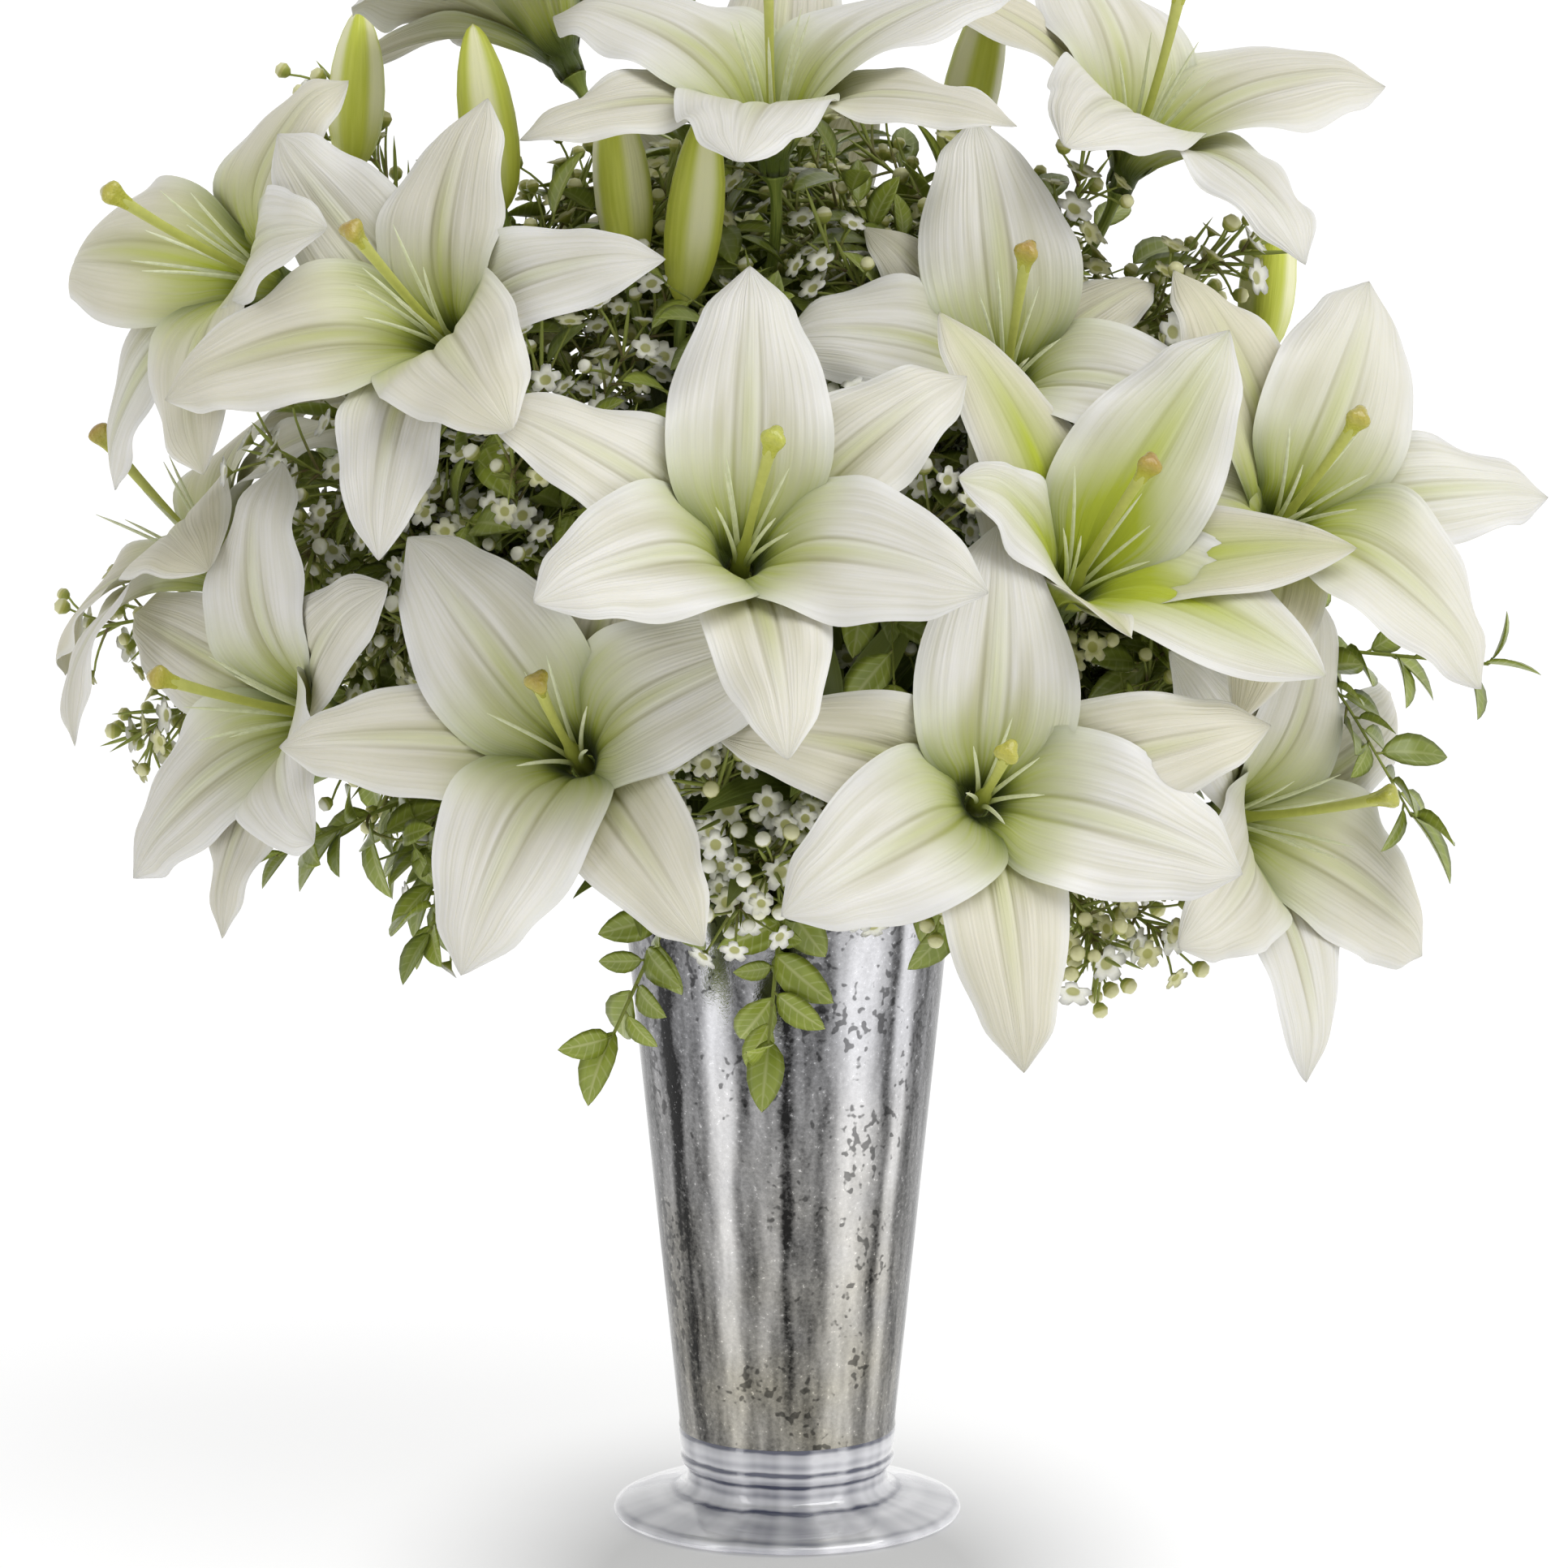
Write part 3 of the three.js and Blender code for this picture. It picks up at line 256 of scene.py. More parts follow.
# Painted reflections: where a band stands, in degrees from the front, half its width, and how much brighter
# it is.
PAINTED_REFLECTION_BANDS = (
    (0, 4, -0.8), (-9, 8, 0.3), (-17, 6, -0.3), (-27, 8, 2.1), (-41, 7, -0.35), (-51, 8, -1.1),
    (-62, 5, 0.1), (13, 8, -0.25), (28, 14, 2.1), (42, 4, -0.5), (49, 7, 1.9), (61, 9, -0.5),
    (-80, 20, -1.0), (80, 18, -1.0), (112, 12, 1.5), (134, 8, -0.8), (158, 12, 1.1), (-112, 10, 1.2),
    (-131, 6, -0.8), (-152, 12, 1.6), (-172, 6, -0.7),
)
place = add(tree, "ShaderNodeTexCoord").outputs["Object"]
parts = add(tree, "ShaderNodeSeparateXYZ", [place]).outputs
back = add(tree, "ShaderNodeMath", [parts["Y"], -1.0], operation="MULTIPLY")
turn = add(tree, "ShaderNodeMath", [parts["X"], back], operation="ARCTAN2")
turn = add(tree, "ShaderNodeMath", [turn, math.degrees(1)], operation="MULTIPLY")
ring = add(tree, "ShaderNodeVectorMath", [place, (1, 1, 0)], operation="MULTIPLY")
ring = add(tree, "ShaderNodeVectorMath", [ring], operation="NORMALIZE")
ring = add(tree, "ShaderNodeVectorMath", {0: ring, "Scale": 0.045}, operation="SCALE")  # 45 mm from the axis
lowered = add(tree, "ShaderNodeVectorMath", [place, (0, 0, 0.3)], operation="MULTIPLY")
wander = add(tree, "ShaderNodeVectorMath", [ring, lowered], operation="ADD")
wander = add(tree, "ShaderNodeTexNoise", {"Vector": wander, "Scale": 90.0, "Detail": 2.0})
wander = add(tree, "ShaderNodeMath", [wander, 5.0, -2.5], operation="MULTIPLY_ADD")
turn = add(tree, "ShaderNodeMath", [turn, wander], operation="ADD")
painted_reflections = add(tree, "ShaderNodeMapRange", [parts["Z"], 0, 1, 0, 0])
for where, half, strength in PAINTED_REFLECTION_BANDS:
    away = add(tree, "ShaderNodeMath", [turn, where], operation="SUBTRACT")
    away = add(tree, "ShaderNodeMath", [away], operation="ABSOLUTE")
    painted_band = add(
        tree, "ShaderNodeMapRange", [away, half, 0.15 * half, 0.0, strength], interpolation_type="SMOOTHSTEP"
    )
    painted_reflections = add(tree, "ShaderNodeMath", [painted_reflections, painted_band], operation="ADD")
# The painted reflections are weaker towards the foot.
depth = add(tree, "ShaderNodeMapRange", [parts["Z"], 0.03, 0.13, 0.4, 1.0])
painted_reflections = add(tree, "ShaderNodeMath", [painted_reflections, depth], operation="MULTIPLY")
# Soft streaks are 4 mm wide and six times as tall, and the crackle's cells are about 1.5 mm.
drawn = add(tree, "ShaderNodeVectorMath", [place, (0, 0, 0.16)], operation="MULTIPLY")
drawn = add(tree, "ShaderNodeVectorMath", [ring, drawn], operation="ADD")
streaks = add(tree, "ShaderNodeTexNoise", {"Vector": drawn, "Scale": 230.0, "Detail": 1.5})
streaks = add(tree, "ShaderNodeMapRange", [streaks, 0.3, 0.7, -0.4, 0.4])
crackle = add(tree, "ShaderNodeTexNoise", {"Vector": place, "Scale": 640.0, "Detail": 3.0, "Roughness": 0.7})
grain = add(tree, "ShaderNodeMapRange", [crackle, 0.3, 0.7, -0.3, 0.3])
glints = add(tree, "ShaderNodeMapRange", [crackle, 0.64, 0.74, 0.0, 1.5])
grain = add(tree, "ShaderNodeMath", [grain, glints], operation="ADD")
patches = add(tree, "ShaderNodeTexNoise", {"Vector": place, "Scale": 38.0, "Detail": 2.0})
tone = add(tree, "ShaderNodeMath", [streaks, grain], operation="ADD")
tone = add(tree, "ShaderNodeMath", [tone, painted_reflections], operation="ADD")
tone = add(tree, "ShaderNodeMath", [tone, 1.0], operation="ADD")
# Pits of 2 to 3 mm, in patches, where the silvering has come off.
pits = add(tree, "ShaderNodeTexNoise", {"Vector": place, "Scale": 330.0, "Detail": 1.0})
pits = add(tree, "ShaderNodeMath", [pits, patches], operation="MULTIPLY")
pits = add(tree, "ShaderNodeMapRange", [pits, 0.34, 0.38, 1.0, 0.35])
tone = add(tree, "ShaderNodeMath", [tone, pits], operation="MULTIPLY")
tone = add(tree, "ShaderNodeMath", [tone, 0.06], operation="MAXIMUM")
stain = add(tree, "ShaderNodeMapRange", [parts["Z"], 0.17, 0.05, 0.0, 0.9])
stain = add(tree, "ShaderNodeMath", [stain, patches], operation="MULTIPLY")
silver = add(tree, "ShaderNodeMixRGB", [stain, linear("#838385"), linear("#827c68")])
silver = add(tree, "ShaderNodeVectorMath", {0: silver, "Scale": tone}, operation="SCALE")
tree.links.new(silver.outputs[0], shader.inputs["Base Color"])
rough = add(tree, "ShaderNodeMapRange", [patches, 0.3, 0.7, 0.08, 0.24])
tree.links.new(rough.outputs[0], shader.inputs["Roughness"])
dents = add(tree, "ShaderNodeBump", {"Height": crackle, "Strength": 0.2, "Distance": 0.0006})
tree.links.new(dents.outputs[0], shader.inputs["Normal"])

body_profile = [
    (0, 24.4),
    (27, 24.5),
    (31.5, 25.2),
    (34, 26.6),
    (35.3, BODY_FOOT_HEIGHT),
    (36.6, BODY_FOOT_HEIGHT + 2),
    *[(mix(36.4, 54.9, t), mix(BODY_FOOT_HEIGHT + 4, VASE_HEIGHT - 4, t)) for t in np.linspace(0, 1, 12)],
    (RIM_RADIUS, VASE_HEIGHT - 1.8),
    (RIM_RADIUS - 0.5, VASE_HEIGHT - 0.4),
    (RIM_RADIUS - 1.4, VASE_HEIGHT),
    (RIM_RADIUS - 2.3, VASE_HEIGHT - 0.4),
    (inside_radius(VASE_HEIGHT - 3), VASE_HEIGHT - 3),
    (inside_radius(VASE_FLOOR + 5), VASE_FLOOR + 5),
    (inside_radius(VASE_FLOOR) - 1.2, VASE_FLOOR + 1.6),
    (inside_radius(VASE_FLOOR) - 4, VASE_FLOOR),
    (0, VASE_FLOOR),
]
piece("vase_body", turned("vase_body", body_profile, silvered), ["vase"])

# Clear pressed glass, faintly blue. The light bent through its thickness shows as pale and grey
# rings at certain heights, which are drawn on it, and the rest of it is partly see-through.
clear, tree, shader = finish(
    "clear_pressed_glass", Roughness=0.04, IOR=1.5, Transmission_Weight=0.2, Coat_Weight=1.0,
    Coat_Roughness=0.02,
)
RINGS_TOP = 30  # millimetres up, where the drawn rings end
# Heights in millimetres, and how pale the glass looks there.
GLASS_RINGS = (
    (0.2, 0.25), (1.0, 0.8), (2.4, 1), (3.2, 0.9), (3.8, 0.6), (4.6, 0.85), (6.2, 0.75), (7.4, 1),
    (8.2, 0.8), (8.8, 0.1), (9.7, 0.9), (11.8, 1), (13.6, 0.55), (15.4, 1), (16.8, 0.05), (18.1, 0.85),
    (19.8, 1), (21.2, 0.05), (22.4, 1), (24.2, 0.7), (26.2, 1), (28, 0.85), (29.4, 0.15),
)
place = add(tree, "ShaderNodeTexCoord").outputs["Object"]
height = add(tree, "ShaderNodeSeparateXYZ", [place]).outputs["Z"]
flat = add(tree, "ShaderNodeVectorMath", [place, (1, 1, 0)], operation="MULTIPLY")
facing = add(tree, "ShaderNodeVectorMath", [flat], operation="NORMALIZE")
waver = add(tree, "ShaderNodeTexNoise", {"Vector": facing, "Scale": 2.2, "Detail": 2.0})
waver = add(tree, "ShaderNodeMath", [waver, 0.0016, -0.0008], operation="MULTIPLY_ADD")
waver = add(tree, "ShaderNodeMath", [height, waver], operation="ADD")
waver = add(tree, "ShaderNodeMath", [waver, 1000 / RINGS_TOP], operation="MULTIPLY")
rings = add(tree, "ShaderNodeValToRGB", [waver])
rings.color_ramp.interpolation = "EASE"
while len(rings.color_ramp.elements) < len(GLASS_RINGS):
    rings.color_ramp.elements.new(0.5)
for stop, (level, pale) in zip(rings.color_ramp.elements, GLASS_RINGS):
    stop.position = level / RINGS_TOP
    stop.color = (pale, pale, pale, 1)
glancing = add(tree, "ShaderNodeTexNoise", {"Vector": facing, "Scale": 2.6, "Detail": 2.0})
glancing = add(tree, "ShaderNodeMapRange", [glancing, 0.36, 0.64, -0.42, 0.2])
pale = add(tree, "ShaderNodeMath", [rings, glancing], operation="ADD", use_clamp=True)
tone = add(tree, "ShaderNodeMixRGB", [pale, linear("#4e5268"), linear("#fafaff")])
tree.links.new(tone.outputs[0], shader.inputs["Base Color"])
ripple = add(tree, "ShaderNodeBump", {"Height": pale, "Strength": 0.2, "Distance": 0.0008})
tree.links.new(ripple.outputs[0], shader.inputs["Normal"])

foot_profile = [
    (0, 0),
    (FOOT_RADIUS - 3, 0),
    (FOOT_RADIUS - 0.9, 0.5),
    (FOOT_RADIUS, 1.8),
    (FOOT_RADIUS - 0.4, 3.2),
    (FOOT_RADIUS - 3, 4.4),
    (FOOT_RADIUS - 9, 5.9),
    (FOOT_RADIUS - 15, 7.4),
    (38.6, 8.6),
    (35.4, 9.8),
    (34, 11.6),
    (33.7, 14.4),
    (34.1, 16.8),
    (35.6, 18.2),
    (36.3, 19.6),
    (36, 20.8),
    (35.5, 21.8),
    (35.9, 23.2),
    (36.4, 25.6),
    (36.5, BODY_FOOT_HEIGHT + 1),
    (36.1, BODY_FOOT_HEIGHT + 1.8),
    (0, BODY_FOOT_HEIGHT + 1.8),
]
piece("vase_foot", turned("vase_foot", foot_profile, clear), ["vase"])

# ---- The water ----
# Clear water to below the middle of the vase, seen only from above between the stems.

water, tree, shader = finish(
    "clear_water", Roughness=0.02, IOR=1.33, Transmission_Weight=1.0, Base_Color=linear("#e9f2ee")
)
place = add(tree, "ShaderNodeTexCoord").outputs["Object"]
drift = add(tree, "ShaderNodeTexNoise", {"Vector": place, "Scale": 40.0, "Detail": 1.0})
still = add(tree, "ShaderNodeBump", {"Height": drift, "Strength": 0.1, "Distance": 0.0005})
tree.links.new(still.outputs[0], shader.inputs["Normal"])
for slot in frame["nodes"]["water"].material_slots:
    slot.material = water

# ---- The blooms ----
# White hybrid lilies of six waxy tepals, three broad inner ones and three narrower outer ones, each
# folded along its middle and rolled back at its tip. The tepals join in a short ring at the base.

# at: base of the bloom. faces: the way that its throat opens. roll: turn of the first inner tepal
# from straight up. open and curl: how far tepals lean out, and how far their tips roll back, in
# degrees. own: what single tepals do differently, and how calm their rims are where they cross each
# other. young: how green a bloom still is.
BLOOMS = {
    "lily_01": dict(at=(-15, -150, 332), faces=(0.1, -0.8, 0.59), roll=2, open=50, curl=30, own={}),
    "lily_02": dict(at=(-62, -136, 272), faces=(-0.22, -0.88, 0.43), roll=45, open=54, curl=34,
                    own={1: dict(turn=-8), 4: dict(turn=8, lift=6)}),
    "lily_03": dict(at=(58, -141, 261), faces=(0.12, -0.93, 0.33), roll=0, open=56, curl=34,
                    own={1: dict(turn=10), 4: dict(turn=14), 5: dict(turn=-20)}),
    "lily_04": dict(at=(84, -112, 318), faces=(0.3, -0.68, 0.67), roll=-40, open=36, curl=20, young=0.85,
                    own={2: dict(size=0.8), 3: dict(size=0.72, lift=14), 4: dict(turn=20, lift=24, calm=0.1),
                         5: dict(calm=0.1)}),
    "lily_05": dict(at=(150, -88, 338), faces=(0.35, -0.77, 0.53), roll=-32, open=54, curl=36, young=0.15,
                    own={1: dict(turn=-14), 2: dict(size=0.8), 3: dict(size=0.9)}),
    "lily_06": dict(at=(132, -62, 246), faces=(0.75, -0.65, 0.09), roll=-8, open=52, curl=36,
                    own={0: dict(size=0.94)}),
    "lily_07": dict(at=(-101, -100, 396), faces=(-0.42, -0.72, 0.55), roll=-6, open=52, curl=34,
                    own={0: dict(size=0.86), 2: dict(turn=8), 3: dict(turn=24), 5: dict(turn=-10)}),
    "lily_08": dict(at=(-158, -44, 415), faces=(-0.76, -0.56, 0.33), roll=-30, open=54, curl=46, young=0.2,
                    own={0: dict(size=0.84, lift=16), 1: dict(size=0.72, lift=24),
                         3: dict(size=1.06, lift=10)}),
    "lily_09": dict(at=(-176, -14, 312), faces=(-0.69, -0.11, 0.71), roll=30, open=62, curl=66,
                    own={1: dict(size=0.88), 2: dict(size=0.88)}),
    "lily_10": dict(at=(-141, -70, 279), faces=(-0.75, -0.63, 0.19), roll=0, open=50, curl=36,
                    own={2: dict(turn=22, size=0.92), 3: dict(size=0.88)}),
    "lily_11": dict(at=(-4, -66, 453), faces=(-0.05, -0.4, 0.92), roll=60, open=56, curl=30, own={}),
    "lily_12": dict(at=(68, -74, 380), faces=(0.05, -0.79, 0.62), roll=4, open=50, curl=34,
                    own={1: dict(turn=-24, size=0.74), 2: dict(turn=-30, size=0.9), 3: dict(size=0.8),
                         5: dict(size=0.7, lift=20)}),
    "lily_13": dict(at=(-70, 4, 482), faces=(-0.47, 0.22, 0.86), roll=15, open=56, curl=40,
                    own={1: dict(size=0.86), 2: dict(size=0.86)}),
    "lily_14": dict(at=(108, -14, 446), faces=(0.32, -0.41, 0.86), roll=-5, open=52, curl=42,
                    own={1: dict(turn=-20), 4: dict(turn=14), 5: dict(size=0.66, lift=-8)}),
    "lily_15": dict(at=(-98, 100, 318), faces=(-0.55, 0.77, 0.33), roll=10, open=54, curl=36, own={}),
    "lily_16": dict(at=(96, 104, 330), faces=(0.5, 0.8, 0.35), roll=-20, open=54, curl=36, own={}),
    "lily_17": dict(at=(-6, 92, 398), faces=(-0.05, 0.75, 0.66), roll=25, open=54, curl=34, own={}),
}
BLOOM_NAMES = list(BLOOMS)
TEPALS = 6
TEPAL_LENGTH = 96
INNER_TEPAL_WIDTH = 50
OUTER_TEPAL_WIDTH = 39
TEPAL_THICKNESS = 1.3  # of the model's, whose corners are looked for below
PETAL_THICKNESS = 0.9  # real petals are thinner, and run out at their rims
TUBE_HEIGHT = 6
TUBE_RADIUS = 4.9
SPINE_STEPS = 24

# The ways in which a tepal may have given way to its neighbours in the model.
GIVES = [
    dict(size=size, lift=lift, sway=sway)
    for size in (1, 0.92, 0.84, 0.76, 0.68)
    for lift in (0, -8, 8, -16, 16, -25, 25, -35)
    for sway in (0, 10, -10, 20, -20)
]


def draw(seed):
    """A fixed draw between -1 and 1 for each seed."""
    wave = math.sin(seed * 12.9898 + 4.1414) * 43758.5453
    return (wave - math.floor(wave)) * 2 - 1


def smooth(low, high, t):
    x = np.clip((t - low) / (high - low), 0, 1)
    return x * x * (3 - 2 * x)


def unit(vector):
    vector = np.asarray(vector, float)
    return vector / np.linalg.norm(vector)


def across(direction):
    """Two unit vectors across a direction. The first leans towards +Z."""
    helper = np.array((0, 1, 0) if abs(direction[2]) > 0.97 else (0, 0, 1), float)
    first = unit(helper - (helper @ direction) * direction)
    return first, np.cross(direction, first)


def bloom_frame(name):
    axis = unit(BLOOMS[name]["faces"])
    up, side = across(axis)
    return SimpleNamespace(base=np.array(BLOOMS[name]["at"], float), axis=axis, up=up, side=side)


def radial_of(frame_of, degrees):
    angle = math.radians(degrees)
    return math.cos(angle) * frame_of.up + math.sin(angle) * frame_of.side


def tepal_shape(name, k, give):
    """What one tepal's spine follows from, when it gives way like this."""
    bloom, at = BLOOMS[name], bloom_frame(name)
    own = {"turn": 0, "lift": 0, "size": 1, **bloom["own"].get(k, {})}
    seed = BLOOM_NAMES.index(name) * 10 + k
    inner = k % 2 == 0
    radial = radial_of(at, bloom["roll"] + 360 / TEPALS * k + own["turn"] + 4 * draw(seed))
    size = own["size"] * give["size"]
    return SimpleNamespace(
        frame=at,
        radial=radial,
        sideways=np.cross(at.axis, radial),
        seed=seed,
        length=TEPAL_LENGTH * size * (1 + 0.04 * draw(seed + 0.1)),
        width=(INNER_TEPAL_WIDTH if inner else OUTER_TEPAL_WIDTH) * size,
        sway=give["sway"] + 5 * draw(seed + 0.6),
        first=12 if inner else 24,
        open=bloom["open"] + give["lift"] + own["lift"] + (0 if inner else -6) + 5 * draw(seed + 0.2),
        curl=bloom["curl"] * (1 + 0.25 * draw(seed + 0.3)),
    )


def lean_of(shape, t):
    return np.radians(shape.first + shape.open * smooth(-0.1, 0.62, t) + shape.curl * t**2.4)


def tepal_spine(shape, shares):
    """A tepal's middle line at these shares of its length, with what its surface does across it."""
    shares = np.asarray(shares, float)[:, None]
    steps = (np.arange(SPINE_STEPS) + 0.5) / SPINE_STEPS
    leans = lean_of(shape, shares * steps)
    step = shares[:, 0] * shape.length / SPINE_STEPS
    out = TUBE_RADIUS + np.sin(leans).sum(axis=1) * step
    up = TUBE_HEIGHT + np.cos(leans).sum(axis=1) * step
    lean = lean_of(shape, shares)
    normal = np.sin(lean) * shape.frame.axis - np.cos(lean) * shape.radial
    twist = np.radians(12 * draw(shape.seed + 0.4)) * shares**2
    widthways = np.cos(twist) * shape.sideways + np.sin(twist) * normal
    share = shares[:, 0]
    body = np.maximum(np.sin(math.pi * share**0.86), 0)
    half = 2.6 * (1 - share) ** 3 + shape.width / 2 * body**0.82
    centre = (
        shape.frame.base
        + up[:, None] * shape.frame.axis
        + out[:, None] * shape.radial
        + (shape.sway * share**2)[:, None] * shape.sideways
    )
    return dict(
        centre=centre,
        normal=normal,
        widthways=widthways,
        half=half,
        channel=mix(0.42, -0.2, smooth(0, 1, share)) * half,
        ruffle=7.8 * share * (1 - share),
        phase=9 * share + 6 * draw(shape.seed + 0.5),
        share=share,
    )


def tepal_corner(spine, i, v, lift):
    """A point off a spine, as the model's source places it."""
    bend = spine["channel"][i] * v * v + spine["ruffle"][i] * math.sin(spine["phase"][i] + v) * abs(v) ** 3
    middle = spine["centre"][i] + v * spine["half"][i] * spine["widthways"][i]
    return middle + (bend + lift) * spine["normal"][i]


def corners_of(node):
    """The corners of one of the model's solids, in millimetres."""
    mesh = frame["nodes"][node].data
    corners = np.empty(len(mesh.vertices) * 3)
    mesh.vertices.foreach_get("co", corners)
    return np.unique(np.round(corners.reshape(-1, 3) * 1000, 2), axis=0)


def misfit(corners, points):
    """How far the middling one of some points lies from the nearest corner of a solid."""
    gaps = np.linalg.norm(corners[None] - np.asarray(points)[:, None], axis=2)
    return float(np.median(gaps.min(axis=1)))


SURE_FIT = 0.05  # millimetres: a candidate that fits as well as this is the model's own


def tepal_as_built(name, k, corners):
    """A tepal's shape with the bend that its solid shows."""
    wide = 0.54 if k % 2 == 0 else 0.68
    best = None
    for give in GIVES:
        shape = tepal_shape(name, k, give)
        spine = tepal_spine(shape, [wide, 1])
        lift = TEPAL_THICKNESS / 2
        probes = [tepal_corner(spine, 0, v, lift) for v in (-1, 1)] + [tepal_corner(spine, 1, 0, lift)]
        gap = misfit(corners, probes)
        if best is None or gap < best[0]:
            best = (gap, shape)
        if gap < SURE_FIT:
            break
    return best[1]


# What lines carry as lengths in millimetres, beside shares, turns and directions.
LENGTHS = ("centre", "half", "channel", "ruffle", "fold", "groove", "thickness", "frill", "roll", "girth")


def lines_mesh(name, lines):
    """A mesh of open lines. Each is a dict of centre points in millimetres and of values along them."""
    points = np.concatenate([line["centre"] for line in lines]) / 1000
    edges, start = [], 0
    for line in lines:
        count = len(line["centre"])
        edges += [(start + i, start + i + 1) for i in range(count - 1)]
        start += count
    mesh = bpy.data.meshes.new(name)
    mesh.from_pydata(points.tolist(), edges, [])
    for key in lines[0]:
        values = np.concatenate(
            [np.broadcast_to(line[key], (len(line["centre"]), *np.shape(line[key])[1:])) for line in lines]
        ).astype(float)
        if key in LENGTHS:
            values = values / 1000
        kind, field = ("FLOAT_VECTOR", "vector") if values.ndim == 2 else ("FLOAT", "value")
        mesh.attributes.new(key, kind, "POINT").data.foreach_set(field, values.ravel())
    return mesh


def grown(name, lines, tree, **inputs):
    """The plain mesh that a tree of nodes grows from some lines or places."""
    seedling = bpy.data.objects.new(name, lines)
    bpy.context.scene.collection.objects.link(seedling)
    growth = seedling.modifiers.new("growth", "NODES")
    growth.node_group = tree
    for item in tree.interface.items_tree:
        if item.in_out == "INPUT" and item.name in inputs:
            growth[item.identifier] = inputs[item.name]
    graph = bpy.context.evaluated_depsgraph_get()
    mesh = bpy.data.meshes.new_from_object(seedling.evaluated_get(graph), depsgraph=graph)
    bpy.data.objects.remove(seedling)
    return mesh


def blade_tree():
    """Grows closed blades, thin at their rims, across spines that carry their own shape."""
    tree = bpy.data.node_groups.new("blades_on_spines", "GeometryNodeTree")
    for socket, kind in (("Spines", "Geometry"), ("Points Across", "Int"), ("Finish", "Material")):
        tree.interface.new_socket(socket, in_out="INPUT", socket_type="NodeSocket" + kind)
    tree.interface.new_socket("Blades", in_out="OUTPUT", socket_type="NodeSocketGeometry")
    given = add(tree, "NodeGroupInput").outputs
    reads = {
        key: add(tree, "GeometryNodeInputNamedAttribute", {"Name": key}, data_type="FLOAT")
        for key in (
            "across", "half", "channel", "ruffle", "phase", "fold", "groove", "thickness", "frill", "roll",
        )
    }
    reads |= {
        key: add(tree, "GeometryNodeInputNamedAttribute", {"Name": key}, data_type="FLOAT_VECTOR")
        for key in ("centre", "normal", "widthways")
    }
    spines = add(tree, "GeometryNodeMeshToCurve", [given["Spines"]])
    rib = add(tree, "GeometryNodeCurvePrimitiveLine", {"Start": (-1, 0, 0), "End": (1, 0, 0)})
    rib = add(tree, "GeometryNodeResampleCurve", {"Curve": rib, "Count": given["Points Across"]})
    where = add(tree, "GeometryNodeInputPosition")
    where = add(tree, "ShaderNodeSeparateXYZ", [where]).outputs["X"]
    rib = add(tree, "GeometryNodeStoreNamedAttribute", {"Geometry": rib, "Name": "across", "Value": where})
    sheet = add(tree, "GeometryNodeCurveToMesh", {"Curve": spines, "Profile Curve": rib, "Fill Caps": False})

    v = reads["across"]
    squared = add(tree, "ShaderNodeMath", [v, v], operation="MULTIPLY")
    wide = add(tree, "ShaderNodeMath", [v], operation="ABSOLUTE")
    cubed = add(tree, "ShaderNodeMath", [squared, wide], operation="MULTIPLY")
    wave = add(tree, "ShaderNodeMath", [reads["phase"], v], operation="ADD")
    wave = add(tree, "ShaderNodeMath", [wave], operation="SINE")
    wave = add(tree, "ShaderNodeMath", [wave, reads["ruffle"]], operation="MULTIPLY")
    bend = add(tree, "ShaderNodeMath", [wide, reads["fold"]], operation="MULTIPLY")
    bend = add(tree, "ShaderNodeMath", [squared, reads["channel"], bend], operation="MULTIPLY_ADD")
    bend = add(tree, "ShaderNodeMath", [wave, cubed, bend], operation="MULTIPLY_ADD")
    # The rims are frilled, in shorter waves than the blade's own, and roll back.
    frill = add(tree, "ShaderNodeMath", [reads["phase"], 1.4, reads["phase"]], operation="MULTIPLY_ADD")
    frill = add(tree, "ShaderNodeMath", [v, 2.1, frill], operation="MULTIPLY_ADD")
    frill = add(tree, "ShaderNodeMath", [frill], operation="SINE")
    frill = add(tree, "ShaderNodeMath", [frill, reads["frill"]], operation="MULTIPLY")
    bend = add(tree, "ShaderNodeMath", [frill, cubed, bend], operation="MULTIPLY_ADD")
    rolled = add(tree, "ShaderNodeMath", [squared, cubed], operation="MULTIPLY")
    rolled = add(tree, "ShaderNodeMath", [rolled, reads["roll"]], operation="MULTIPLY")
    bend = add(tree, "ShaderNodeMath", [bend, rolled], operation="SUBTRACT")
    # Two furrows, one on each side of the midrib, a sixth of the way out.
    furrow = add(tree, "ShaderNodeMath", [wide, 0.16], operation="SUBTRACT")
    furrow = add(tree, "ShaderNodeMath", [furrow, furrow], operation="MULTIPLY")
    furrow = add(tree, "ShaderNodeMath", [furrow, -260.0], operation="MULTIPLY")
    furrow = add(tree, "ShaderNodeMath", [furrow], operation="EXPONENT")
    furrow = add(tree, "ShaderNodeMath", [furrow, reads["groove"]], operation="MULTIPLY")
    bend = add(tree, "ShaderNodeMath", [bend, furrow], operation="SUBTRACT")
    thin = add(tree, "ShaderNodeMath", [squared, squared], operation="MULTIPLY")
    thin = add(tree, "ShaderNodeMath", [1.0, thin], operation="SUBTRACT")
    thin = add(tree, "ShaderNodeMath", [thin, reads["thickness"]], operation="MULTIPLY")

